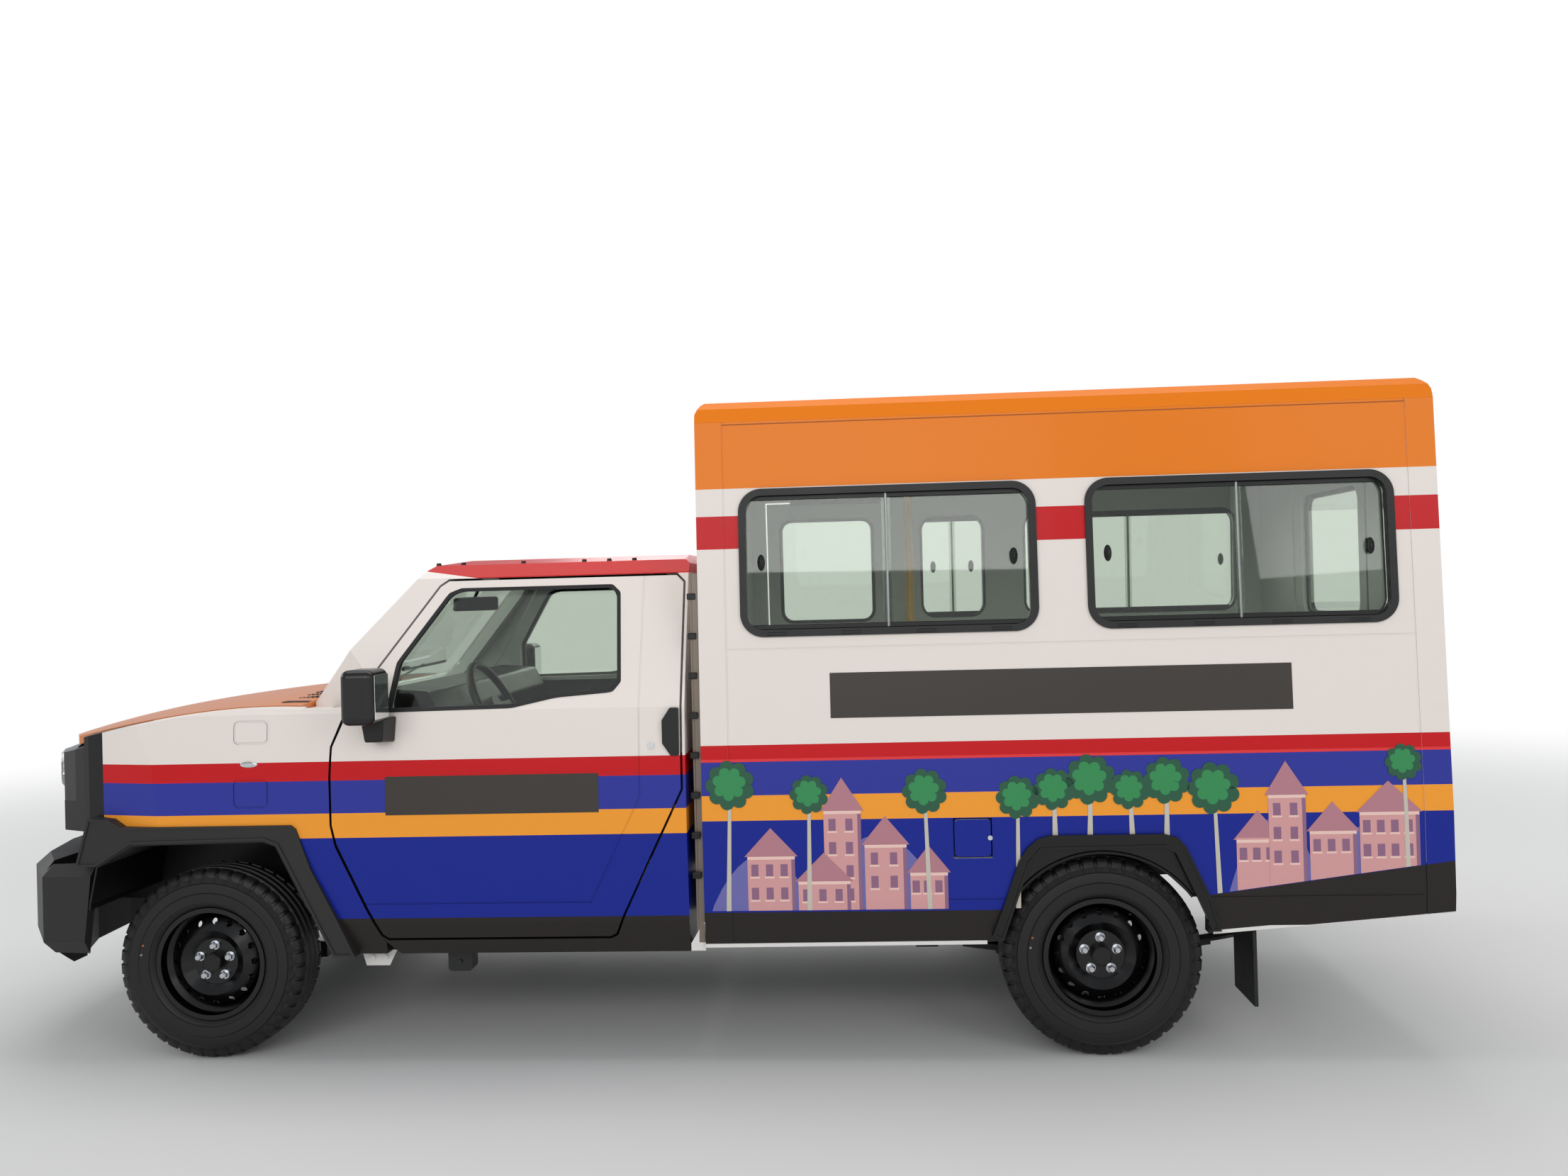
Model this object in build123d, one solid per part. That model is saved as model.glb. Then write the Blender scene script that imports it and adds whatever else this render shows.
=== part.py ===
from build123d import *
import os
from math import atan2, cos, degrees, hypot, radians, sin

# A light chassis-cab jeepney: a two-door cab on a ladder frame, with a tall passenger box behind it.
# Millimetres. X runs to the rear, Y to the vehicle's right, Z up from the ground.
# The origin is on the ground, under the middle of the overall length.

# Whole vehicle
wheelbase = 3085.0
front_overhang = 850.0
rear_overhang = 1150.0
track = 1505.0
overall_length = front_overhang + wheelbase + rear_overhang
front_axle_x = front_overhang - overall_length / 2
rear_axle_x = front_axle_x + wheelbase

# Tyre and pressed-steel rim
tyre_radius = 333.0
tyre_width = 198.0
tread_width = 158.0
shoulder_drop = 14.0
bead_radius = 188.0
rim_lip_radius = 196.0
rim_lip_depth = 9.0
rim_width = 164.0
rim_wall = 8.0
disc_outset = 40.0
lug_pcd = 114.3
lug_count = 5
lug_radius = 10.5
lug_height = 22.0
vent_count = 16
vent_radius = 11.0
vent_circle = 142.0
hub_bore_radius = 33.0
hub_cap_radius = 31.0
hub_z = tyre_radius
wheel_y = track / 2

# Running clearances
panel_gap = 8.0
dash_door_gap = 90.0
seat_gap = 0.3

# Cab: side profile, front section and walls
cowl_setback = 345.0
cab_length = 1357.0
cab_height = 1737.0
cab_wall = 62.0
cab_skin = 12.0
cowl_z = 1232.0
screen_run = 402.0
screen_head_z = 1697.0
rocker_z = 370.0
cab_floor_z = 560.0
cab_floor_thickness = 35.0
rocker_width = 190.0
cab_front_x = front_axle_x + cowl_setback
cab_rear_x = cab_front_x + cab_length
# Cab side section: height and half width, from the rocker to the roof
cab_section = [
    (rocker_z, 852.0),
    (480.0, 872.0),
    (780.0, 885.0),
    (1030.0, 880.0),
    (1205.0, 866.0),
    (1665.0, 678.0),
    (1712.0, 620.0),
]
cab_crown_half = 330.0

# Doors of the cab
door_front = 462.0
door_rear = 1693.0
sill_gap = 6.0
glass_thickness = 5.0
glass_depth = 22.0

# Pressed lines of the cab door and the box side, and the fender's embossed panels
groove_width = 6.0
groove_depth = 2.5
door_line = [
    (1545.0, 1650.0),
    (1545.0, 905.0),
    (1368.0, 548.0),
    (570.0, 548.0),
]
post_line_front = 1850.0
post_line_rear = 4121.0
belt_line_z = 1391.0
emboss_front = 124.0
emboss_rear = 251.0
emboss_heights = [
    (885.0, 985.0),
    (1103.0, 1186.0),
]
emboss_border = 8.0
emboss_radius = 20.0

# Nose, fenders and hood
nose_half = 880.0
fender_wall = 45.0
fender_top_z = 1222.0
crown_half = 860.0
crown_base_z = 800.0
crown_rear = 360.0
shoulder_fall = 0.4
hood_thickness = 30.0
hood_front = 742.0
hood_rear_gap = 8.0
grille_top_z = 1112.0
grille_bottom_z = 700.0
arch_top_z = 774.0
flare_thickness = 13.0
flare_seat = 0.3
flare_rim = 9.0
flare_step = 4.0

# Bumper
bumper_top_z = 692.0
bumper_bottom_z = 300.0
bumper_face_low_z = 420.0
bumper_wall = 40.0

# Passenger box
box_gap = 53.0
box_rear_setback = 20.0
box_half = 882.0
box_waist_z = 813.0
box_crease_z = 545.0
box_tuck = 14.0
box_lean = 0.045
box_roof_z = 2272.0
box_edge_z = 2240.0
box_crown_half = 560.0
box_seam_z = 2170.0
box_bottom_z = 390.0
box_wall = 45.0
box_roof_skin = 40.0
box_floor_z = 620.0
box_floor_thickness = 30.0
box_front_x = cab_rear_x + box_gap
box_rear_x = rear_axle_x + rear_overhang - box_rear_setback

# Windows of the box
window_sill_z = 1432.0
window_head_z = 1937.0
window_corner = 68.0
window_rubber = 24.0
window_rubber_depth = 8.0
pane_thickness = 6.0

# Ladder frame
rail_half = 385.0
rail_width = 70.0
rail_mid_low = 400.0
rail_mid_high = 530.0
rail_kick_low = 500.0
rail_kick_high = 612.0
outrigger_width = 60.0
cab_mount_radius = 32.0

# Brackets under the cab's sills: a jacking plate with two bolts and a hanger further back
jack_plate_front = 526.0
jack_plate_rear = 656.0
jack_plate_y = 790.0
jack_plate_drop = 59.0
bracket_plate = 5.0
bracket_bolt_radius = 8.0
hanger_front = 836.0
hanger_rear = 922.0
hanger_drop = 81.0
hanger_depth = 60.0
frame_front_x = front_axle_x - 640.0
frame_rear_x = box_rear_x - 110.0
tow_eye_radius = 14.0
tow_eye_outer = 28.0
tow_eye_thickness = 16.0
tow_eye_reach = 32.0

# Steering and axles
kingpin_y = 700.0
kingpin_radius = 16.0
steering_wheel_radius = 185.0
steering_wheel_tube = 15.0
steering_wheel_y = -370.0
axle_tube_radius = 45.0
drum_radius = 140.0
spring_y = 500.0

# Wheel liners, grille, lamps and number plates
liner_inner_y = 452.0
liner_wall = 6.0
liner_bottom_z = 540.0
grille_half = 470.0
lamp_inner = 490.0
lamp_bottom_z = 905.0
lamp_top_z = 1090.0
plate_hole_spacing = 200.0
plate_hole_radius = 3.5
plate_hole_z = 610.0
rear_plate_y = -600.0
rear_plate_z = 690.0

# Fuel flap, entry door, rear door and floor of the box
fuel_x0 = 2596.0
fuel_x1 = 2725.0
fuel_z0 = 680.0
fuel_z1 = 814.0
fuel_pocket_depth = 30.0
fuel_flap_thickness = 8.0
step_x0 = 1868.0
step_x1 = 2452.0
entry_low_z = 430.0
entry_high_z = 2010.0
rear_door_half = 380.0
rear_door_low = 530.0
rear_door_high = 2010.0
wheel_well_inner = 600.0
wheel_well_half = 395.0
wheel_well_top = 800.0
step_inner = 590.0
step_z = 440.0
seal_width = 16.0
seal_lap = 8.0

# Benches and grab rails
bench_seat_z = 1075.0
bench_depth = 380.0
bench_cushion = 70.0
rail_pipe = 16.0
rail_pipe_y = 330.0
rail_pipe_z = 2100.0

# Steering column and tie rod
column_lean = 27.0
wheel_hub_x = 905.0
wheel_hub_z = 1168.0
tie_arm = 110.0
tie_z = 313.0
tie_radius = 11.0

# Gearbox, arms, leaf springs, exhaust and mud flaps
gearbox_low = 400.0
shaft_front_z = 462.0
lower_arm_z = 205.0
upper_arm_z = 455.0
arm_thickness = 28.0
spring_drop = 62.0
spring_half = 569.0
spring_rise = 58.0
leaf_thickness = 10.0
leaf_pitch = 11.0
exhaust_y = 228.0
exhaust_z = 318.0
exhaust_radius = 24.0
mud_flap_setback = 500.0
mud_flap_thickness = 12.0


def fx(offset):
    """A place measured to the rear of the front axle."""
    return front_axle_x + offset


def block(x0, x1, y0, y1, z0, z1):
    """A plain block between two corners."""
    size = (abs(x1 - x0), abs(y1 - y0), abs(z1 - z0))
    return Pos((x0 + x1) / 2, (y0 + y1) / 2, (z0 + z1) / 2) * Box(*size)


def side_face(points, radius=0.0):
    """A flat outline seen from the side, at Y = 0."""
    corners = [(x, 0, z) for x, z in points]
    if radius > 0:
        return Face(Wire(FilletPolyline(*corners, radius=radius, close=True).edges()))
    return Face(Wire.make_polygon([Vector(*corner) for corner in corners], close=True))


def side_prism(points, y0, y1, radius=0.0):
    """A side outline pushed across from y0 to y1."""
    face = side_face(points, radius)
    return Pos(0, y0, 0) * extrude(face, amount=y1 - y0, dir=(0, 1, 0))


def plan_prism(points, z0, z1, radius=0.0):
    """An outline seen from above, raised from z0 to z1."""
    corners = [(x, y, 0) for x, y in points]
    if radius > 0:
        face = Face(Wire(FilletPolyline(*corners, radius=radius, close=True).edges()))
    else:
        face = Face(Wire.make_polygon([Vector(*corner) for corner in corners], close=True))
    return Pos(0, 0, z0) * extrude(face, amount=z1 - z0, dir=(0, 0, 1))


def end_prism(points, x0, x1, radius=0.0):
    """An outline seen from the front, pushed along from x0 to x1."""
    corners = [(0, y, z) for y, z in points]
    if radius > 0:
        face = Face(Wire(FilletPolyline(*corners, radius=radius, close=True).edges()))
    else:
        face = Face(Wire.make_polygon([Vector(*corner) for corner in corners], close=True))
    return Pos(x0, 0, 0) * extrude(face, amount=x1 - x0, dir=(1, 0, 0))


def rod(start, end, radius):
    """A round bar between two points."""
    a = Vector(*start)
    b = Vector(*end)
    plane = Plane(origin=a, z_dir=(b - a))
    return extrude(plane * Circle(radius), amount=(b - a).length)


def line_band(points, width, y0, y1):
    """A line of one width along an open run of points, pushed across from y0 to y1."""
    pieces = []
    for (x0, z0), (x1, z1) in zip(points, points[1:]):
        along = Vector(x1 - x0, 0, z1 - z0).normalized() * (width / 2)
        across = Vector(-along.Z, 0, along.X)
        start = Vector(x0, 0, z0) - along
        end = Vector(x1, 0, z1) + along
        corners = [start + across, end + across, end - across, start - across]
        pieces.append(side_prism([(corner.X, corner.Z) for corner in corners], y0, y1))
    return joined(pieces)


def cross_rod(x, z, y0, y1, radius):
    """A round bar that lies along Y."""
    return rod((x, y0, z), (x, y1, z), radius)


def joined(pieces):
    """Several pieces of one node."""
    result = pieces[0]
    for piece in pieces[1:]:
        result += piece
    return result


def mirrored(shape):
    """The same piece on the vehicle's other side."""
    return mirror(shape, about=Plane.XZ)


def grown(points, amount):
    """A side outline of straight runs moved outwards by one distance, corner by corner."""
    count = len(points)
    area = 0.0
    for index in range(count):
        x0, z0 = points[index]
        x1, z1 = points[(index + 1) % count]
        area += x0 * z1 - x1 * z0
    turn = 1.0 if area > 0 else -1.0
    result = []
    for index in range(count):
        before = Vector(*points[index - 1], 0)
        here = Vector(*points[index], 0)
        after = Vector(*points[(index + 1) % count], 0)
        run_in = (here - before).normalized()
        run_out = (after - here).normalized()
        normal_in = Vector(run_in.Y, -run_in.X, 0) * turn
        normal_out = Vector(run_out.Y, -run_out.X, 0) * turn
        share = amount / (1 + normal_in.dot(normal_out))
        moved = here + (normal_in + normal_out) * share
        result.append((moved.X, moved.Y))
    return result


def half_width(z, table):
    """Half width of a side section at one height."""
    for (z0, w0), (z1, w1) in zip(table, table[1:]):
        if z0 <= z <= z1:
            return w0 + (w1 - w0) * (z - z0) / (z1 - z0)
    return table[0][1] if z < table[0][0] else table[-1][1]


# Shared forms of the cab and nose

def cab_section_prism(inset, x0, x1, top):
    right = [(cab_section[0][1] - inset, 0)]
    right += [(width - inset, height) for height, width in cab_section]
    right.append((cab_crown_half, top))
    left = [(-y, z) for y, z in reversed(right)]
    return end_prism(right + left, x0, x1)


def screen_slope():
    return screen_run / (screen_head_z - cowl_z)


def cab_form(inset, bottom=None):
    """The closed outer form of the cab, or the same form a wall further in."""
    low = rocker_z if bottom is None else bottom
    top = cab_height - inset
    lean = inset * hypot(1.0, screen_slope())
    profile = [
        (cab_front_x + lean, cowl_z),
        (cab_front_x + lean + screen_run, screen_head_z),
        (cab_front_x + lean + screen_run + 62, top),
        (cab_rear_x - inset - 45, top),
        (cab_rear_x - inset, top - 40),
        (cab_rear_x - inset, low),
        (cab_front_x + inset + 230, low),
        (cab_front_x + inset + 85, 830),
        (cab_front_x + inset, 1000),
    ]
    body = side_prism(profile, -1000, 1000)
    body &= cab_section_prism(inset, cab_front_x - 20, cab_rear_x + 20, top)
    # The screen pillars draw in towards the front above the belt
    plan = [
        (cab_front_x - 40, -690 + inset),
        (cab_front_x + 90, -745 + inset),
        (cab_front_x + 420, -900 + inset),
        (cab_front_x + 420, 900 - inset),
        (cab_front_x + 90, 745 - inset),
        (cab_front_x - 40, 690 - inset),
    ]
    drawn_in = plan_prism(plan, cowl_z - 15, cab_height + 50)
    drawn_in += block(cab_front_x + 415, cab_rear_x + 50, -1000, 1000, cowl_z - 15, cab_height + 50)
    drawn_in += block(cab_front_x - 50, cab_rear_x + 50, -1000, 1000, 0, cowl_z - 15)
    return body & drawn_in


# Cab door outline, rear of the front axle and up from the ground, clockwise from the lower front corner
door_points = [
    (654.0, 418.0),
    (630.0, 434.0),
    (578.0, 535.0),
    (481.0, 749.0),
    (door_front + 2, 820.0),
    (door_front, 985.0),
    (door_front + 6, 1091.0),
    (539.0, 1247.0),
    (803.0, 1640.0),
    (835.0, 1662.0),
    (door_rear - 30, 1662.0),
    (door_rear, 1632.0),
    (door_rear, 925.0),
    (1484.0, 500.0),
    (1455.0, 430.0),
    (1430.0, 418.0),
]
# Glass opening of the cab door
door_window_points = [
    (664.0, 1204.0),
    (681.0, 1372.0),
    (842.0, 1612.0),
    (884.0, 1628.0),
    (1432.0, 1628.0),
    (1462.0, 1600.0),
    (1480.0, 1290.0),
    (1452.0, 1256.0),
    (1257.0, 1242.0),
    (1104.0, 1210.0),
]


def at_cab(points):
    return [(fx(x), z) for x, z in points]


def cab_side_layer(outer, inner):
    """The side skin of the cab between two depths, on the left, without the cab's end walls."""
    core = cab_form(inner, rocker_z)
    shift = inner + panel_gap
    hollow = core + Pos(shift, 0, 0) * core
    hollow += (Pos(-shift, 0, 0) * core) & block(cab_front_x - 200, cab_rear_x, -1000, 1000, 0, cowl_z - 15)
    layer = cab_form(outer, rocker_z) - hollow
    return layer & block(cab_front_x - 100, cab_rear_x + 100, -1000, -420, 0, 1700)


def make_cab_shell():
    shell = cab_form(0)
    cavity = cab_form(cab_wall, cab_floor_z + cab_floor_thickness)
    thin_top = cab_form(cab_wall - 18, cab_floor_z + cab_floor_thickness)
    thin_top &= block(fx(900), cab_rear_x - cab_wall, -560, 560, 1500, cab_height - 45)
    shell -= cavity
    shell -= thin_top
    # Below the floor the shell is two rockers with the rails between them
    inner_rocker = half_width(rocker_z, cab_section) - rocker_width
    shell -= block(cab_front_x - 100, cab_rear_x + 100, -inner_rocker, inner_rocker, 0, cab_floor_z)
    # Door apertures: through the side wall, and a rebate in the rocker below the sill
    aperture = side_prism(at_cab(door_points), -1000, -420) & cab_side_layer(-5, cab_wall + sill_gap)
    shell -= aperture
    shell -= mirrored(aperture)
    # The fenders cover the cowl sides ahead of the doors
    cowl_side = [
        (cab_front_x - 200, 0),
        (fx(700), 0),
        (fx(700), rocker_z - 5),
        (fx(648), rocker_z + 40),
        (fx(door_points[1][0]), door_points[1][1]),
        (fx(door_points[2][0]), door_points[2][1]),
        (fx(door_points[3][0]), door_points[3][1]),
        (fx(door_points[4][0]), door_points[4][1]),
        (fx(door_points[5][0]), door_points[5][1]),
        (fx(door_points[6][0]), door_points[6][1]),
        (fx(door_points[6][0] + 62), fender_top_z),
        (cab_front_x - 200, fender_top_z),
    ]
    layer = nose_form(-6) - nose_form(fender_wall + seat_gap)
    zone = side_prism(cowl_side, -1000, -500) & layer
    shell -= zone
    shell -= mirrored(zone)
    # Wheel well behind the front wheel
    shell -= side_prism(at_cab(arch_points), -1000, 1000)
    # Windscreen opening
    shell -= screen_prism(0, -200, 200)
    # Back window opening
    shell -= back_window_prism(0, 400)
    return shell


def screen_prism(margin, depth_back, depth_front):
    """The windscreen opening as a sloped prism square to the glass."""
    slope = atan2(screen_head_z - cowl_z, screen_run)
    middle_x = cab_front_x + screen_run / 2
    middle_z = (cowl_z + screen_head_z) / 2
    plane = Plane(origin=(middle_x, 0, middle_z), x_dir=(0, 1, 0), z_dir=(-sin(slope), 0, cos(slope)))
    half_height = hypot(screen_run, screen_head_z - cowl_z) / 2
    low = -half_height + 34 - margin
    high = half_height - 34 + margin
    if plane.y_dir.Z < 0:
        low, high = -high, -low
        wide_low = False
    else:
        wide_low = True
    bottom_half = 655 + margin
    top_half = 560 + margin
    if wide_low:
        points = [(-bottom_half, low), (bottom_half, low), (top_half, high), (-top_half, high)]
    else:
        points = [(-top_half, low), (top_half, low), (bottom_half, high), (-bottom_half, high)]
    outline = Face(Wire(FilletPolyline(*points, radius=70, close=True).edges()))
    face = plane * outline
    solid = extrude(face, amount=depth_front, dir=plane.z_dir)
    if depth_back < 0:
        solid += extrude(face, amount=-depth_back, dir=-plane.z_dir)
    return solid


def back_window_prism(margin, depth):
    points = [
        (-560 - margin, 1290 - margin),
        (560 + margin, 1290 - margin),
        (560 + margin, 1610 + margin),
        (-560 - margin, 1610 + margin),
    ]
    return end_prism(points, cab_rear_x - depth / 2, cab_rear_x + depth / 2, radius=60)


def make_windscreen():
    slope = atan2(screen_head_z - cowl_z, screen_run)
    normal = Vector(-sin(slope), 0, cos(slope))
    pane = screen_prism(-seat_gap, 0, glass_thickness + 1)
    return Pos(normal.X * -14, 0, normal.Z * -14) * pane


def make_cab_back_glass():
    points = [
        (-560 + seat_gap, 1290 + seat_gap),
        (560 - seat_gap, 1290 + seat_gap),
        (560 - seat_gap, 1610 - seat_gap),
        (-560 + seat_gap, 1610 - seat_gap),
    ]
    back = cab_rear_x - cab_wall / 2
    return end_prism(points, back, back + glass_thickness, radius=60 - seat_gap)


def make_cab_door():
    """Left door: an outer skin the size of the aperture and a smaller box behind it."""
    outline = side_prism(grown(at_cab(door_points), -panel_gap), -1000, -420)
    inner_outline = outline & block(fx(0), fx(door_rear) - 33, -1000, -420, 0, 2000)
    skin = cab_side_layer(0, cab_skin) & outline
    box = cab_side_layer(cab_skin, cab_wall) & inner_outline
    window = side_prism(at_cab(door_window_points), -1000, -420, radius=20)
    groove = line_band(at_cab(door_line), groove_width, -1000, -420)
    groove &= cab_form(-groove_depth, rocker_z) - cab_form(groove_depth, rocker_z)
    return (skin + box) - window - groove


def make_door_glass():
    pane = side_prism(grown(at_cab(door_window_points), -seat_gap), -1000, -420, radius=20)
    return cab_side_layer(glass_depth, glass_depth + glass_thickness) & pane


def make_door_handle():
    x0 = fx(1626)
    x1 = fx(door_rear - panel_gap - 2)
    z0 = 1040.0
    z1 = 1202.0
    surface = half_width(1120, cab_section)
    points = [(x0, z0 + 42), (x0 + 28, z0), (x1, z0), (x1, z1), (x0 + 28, z1), (x0, z1 - 42)]
    handle = side_prism(points, -surface - 13, -surface + 60, radius=6)
    return handle - cab_form(-seat_gap)


def make_mirror():
    """Door mirror: a rounded head on a short foot at the front corner of the door glass."""
    head = block(fx(585), fx(700), -1062, -912, 1178, 1362)
    head = fillet(head.edges(), radius=26)
    foot = block(fx(628), fx(690), -925, -800, 1128, 1190)
    foot = fillet(foot.edges().filter_by(Axis.Y), radius=14)
    foot -= cab_form(-seat_gap)
    stalk = block(fx(634), fx(684), -960, -905, 1150, 1200)
    return head + foot + stalk


# Nose, fenders, hood, grille, lamps and bumper

def nose_plan(inset, rear):
    half = nose_half + 4 - inset
    return [
        (rear, -half),
        (fx(-150), -half),
        (fx(-430) + inset * 0.3, -half + 56),
        (fx(-560) + inset * 0.7, -772 + inset * 0.75),
        (fx(-690) + inset, -560 + inset * 0.5),
        (fx(-752) + inset, -250),
        (fx(-752) + inset, 250),
        (fx(-690) + inset, 560 - inset * 0.5),
        (fx(-560) + inset * 0.7, 772 - inset * 0.75),
        (fx(-430) + inset * 0.3, half - 56),
        (fx(-150), half),
        (rear, half),
    ]


def nose_form(inset, top=1300.0):
    rear = fx(door_front + 240)
    body = plan_prism(nose_plan(inset, rear), 200, top)
    return body & cab_section_prism(inset, fx(-900), rear, top + 400)


def hood_crown(drop, reach=crown_half):
    """The crowned block under the hood's outer skin, lowered by one distance and out to one reach."""
    # place behind the front axle, edge height, centre height
    stations = [
        (-760.0, 1040.0, 1118.0),
        (-480.0, 1124.0, 1184.0),
        (-140.0, 1197.0, 1230.0),
        (crown_rear, fender_top_z, 1274.0),
    ]
    faces = []
    for place, edge_z, centre_z in stations:
        low = edge_z - drop
        arc = ThreePointArc((0, -crown_half, low), (0, 0, centre_z - drop), (0, crown_half, low))
        corners = [(0, crown_half, low), (0, reach, crown_base_z), (0, -reach, crown_base_z), (0, -crown_half, low)]
        if reach > crown_half:
            shoulder = low - (reach - crown_half) * shoulder_fall
            corners[1:3] = [(0, reach, shoulder), (0, reach, crown_base_z),
                            (0, -reach, crown_base_z), (0, -reach, shoulder)]
        base = Polyline(*corners)
        faces.append(Pos(fx(place), 0, 0) * Face(Wire(arc.edges() + base.edges())))
    return loft(faces)


def hood_plan(inset):
    """The hood's outline seen from above, moved inwards by one distance."""
    rear = cab_front_x - hood_rear_gap
    half = [
        (fx(-hood_front + 12), 230.0),
        (fx(-672), 520.0),
        (fx(-548), 700.0),
        (fx(-430), 752.0),
        (fx(-150), 800.0),
        (rear, 806.0),
    ]
    outline = half + [(x, -y) for x, y in reversed(half)]
    return grown(outline, -inset)


def make_hood():
    skin = hood_crown(0) - hood_crown(hood_thickness)
    hood = skin & plan_prism(hood_plan(0), 900, 1400)
    # Frame on the inside: a rim and two ribs
    under = hood_crown(hood_thickness) - hood_crown(hood_thickness + 18)
    rim = plan_prism(hood_plan(64), 900, 1400) - plan_prism(hood_plan(124), 880, 1420)
    ribs = block(fx(-700), cab_front_x - 20, -280, -240, 900, 1400)
    ribs += block(fx(-700), cab_front_x - 20, 240, 280, 900, 1400)
    keep = (rim + (ribs & plan_prism(hood_plan(70), 900, 1400))) & under
    return hood + keep


fender_points = [
    (-452.0, 702.0),
    (-452.0, 1180.0),
    (-300.0, 1290.0),
    (520.0, 1290.0),
    (524.0, 1222.0),
    (door_front + 6, 1091.0),
    (door_front, 985.0),
    (door_front + 2, 820.0),
    (480.0, 747.0),
    (577.0, 533.0),
    (629.0, 433.0),
    (645.0, 412.0),
    (645.0, rocker_z),
    (440.0, rocker_z),
    (-400.0, 702.0),
]

# Opening of the front wheel arch, from the front lower corner over the top to the rear lower corner
arch_points = [
    (-420.0, 200.0),
    (-400.0, 560.0),
    (-372.0, 691.0),
    (-245.0, 767.0),
    (230.0, arch_top_z),
    (276.0, 757.0),
    (475.0, 358.0),
    (475.0, 200.0),
]
flare_points = [
    (-446.0, 691.0),
    (-398.0, 858.0),
    (-321.0, 851.0),
    (-277.0, 825.0),
    (329.0, 825.0),
    (346.0, 812.0),
    (396.0, 672.0),
    (491.0, 485.0),
    (546.0, rocker_z),
    (470.0, rocker_z),
    (276.0, 757.0),
    (230.0, arch_top_z),
    (-245.0, 767.0),
    (-372.0, 691.0),
]


def make_fender():
    layer = nose_form(0) - nose_form(fender_wall)
    fender = layer & side_prism(at_cab(fender_points), -1000, -500)
    fender -= side_prism(grown(at_cab(arch_points), 10), -1000, -500)
    # The hood closes on the fender's top
    fender -= plan_prism(hood_plan(-panel_gap), 1000, 1400)
    above = block(fx(-900), fx(crown_rear), -1000, 1000, crown_base_z, 1500) - hood_crown(2, 1000)
    above += block(fx(crown_rear), fx(700), -1000, 1000, fender_top_z, 1500)
    return fender - above - emboss_rings()


def emboss_rings():
    """Shallow rounded square lines pressed into the fender's side, one above the other."""
    rings = []
    for low, high in emboss_heights:
        outline = at_cab([(emboss_front, low), (emboss_rear, low), (emboss_rear, high), (emboss_front, high)])
        ring = side_prism(outline, -1000, -500, radius=emboss_radius)
        ring -= side_prism(grown(outline, -emboss_border), -1000, -500, radius=emboss_radius - emboss_border)
        rings.append(ring)
    return joined(rings) & (nose_form(-groove_depth) - nose_form(groove_depth))


def make_flare():
    outer_y = -nose_half - flare_thickness
    ring = side_prism(at_cab(flare_points), outer_y, -nose_half + fender_wall)
    ring -= side_prism(grown(at_cab(flare_points), -flare_rim), outer_y - 5, outer_y + flare_step)
    return ring - nose_form(-flare_seat)


def make_wheel_liner():
    """Black liner over the front wheel, from the flare in to the apron beside the engine."""
    outer_y = -(nose_half + flare_thickness - 4)
    arch = at_cab(arch_points)
    liner = side_prism(grown(arch, -seat_gap), outer_y, -liner_inner_y)
    liner -= side_prism(grown(arch, -seat_gap - liner_wall), outer_y - 5, -liner_inner_y - liner_wall)
    return liner & block(fx(-600), fx(600), -1000, 0, liner_bottom_z, 900)


def make_nose_panel():
    panel = nose_form(0) - nose_form(fender_wall)
    panel &= block(fx(-900), fx(-452) - seat_gap, -1000, 1000, grille_bottom_z, grille_top_z)
    panel &= hood_crown(hood_thickness + 8)
    # Openings for the lamps and the grille slots
    panel -= lamp_zone(seat_gap)
    slot = (grille_top_z - grille_bottom_z - 120) / 5
    for row in range(5):
        low = grille_bottom_z + 50 + row * slot
        panel -= block(fx(-900), fx(-600), -grille_half + 20, grille_half - 20, low, low + slot - 20)
    return panel


def lamp_zone(gap):
    zone = block(fx(-900), fx(-500) + gap, -1000, -lamp_inner + gap, lamp_bottom_z - gap, lamp_top_z + gap)
    return zone + mirrored(zone)


def make_head_lamps():
    lamps = nose_form(1) - nose_form(fender_wall - 2)
    lamps &= lamp_zone(0)
    return lamps & hood_crown(hood_thickness + 8 + seat_gap)


def bumper_plan(inset):
    return [
        (fx(-400), -862 + inset),
        (fx(-590) + inset * 0.5, -858 + inset),
        (fx(-766) + inset, -640 + inset * 0.6),
        (fx(-838) + inset, -380),
        (fx(-front_overhang) + inset, -150),
        (fx(-front_overhang) + inset, 150),
        (fx(-838) + inset, 380),
        (fx(-766) + inset, 640 - inset * 0.6),
        (fx(-590) + inset * 0.5, 858 - inset),
        (fx(-400), 862 - inset),
    ]


def plan_face(points, z):
    return Pos(0, 0, z) * Face(Wire.make_polygon([Vector(x, y, 0) for x, y in points], close=True))


def make_bumper():
    low = loft([plan_face(bumper_plan(95), bumper_bottom_z), plan_face(bumper_plan(0), bumper_face_low_z)],
               ruled=True)
    middle = plan_prism(bumper_plan(0), bumper_face_low_z, bumper_top_z - 42)
    top = loft([plan_face(bumper_plan(0), bumper_top_z - 42), plan_face(bumper_plan(40), bumper_top_z)],
               ruled=True)
    bumper = low + middle + top
    hollow = plan_prism(bumper_plan(95 + bumper_wall), 0, bumper_top_z - 30)
    bumper -= hollow
    bumper -= block(fx(-600), fx(-300), -822, 822, 0, 1000)
    # Sides sweep up and back to the wheel arch
    ends = side_prism(at_cab([(-470, 0), (-448, 340), (-412, 640), (-400, 1000), (0, 1000), (0, 0)]), -1000, 1000)
    bumper -= ends
    # Intake slot and number plate holes
    bumper -= block(fx(-900), fx(-600), -420, 420, 470, 560)
    for side in (-1, 1):
        bumper -= rod((fx(-900), side * plate_hole_spacing / 2, plate_hole_z),
                      (fx(-600), side * plate_hole_spacing / 2, plate_hole_z), plate_hole_radius)
    return bumper


# Passenger box

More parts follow.
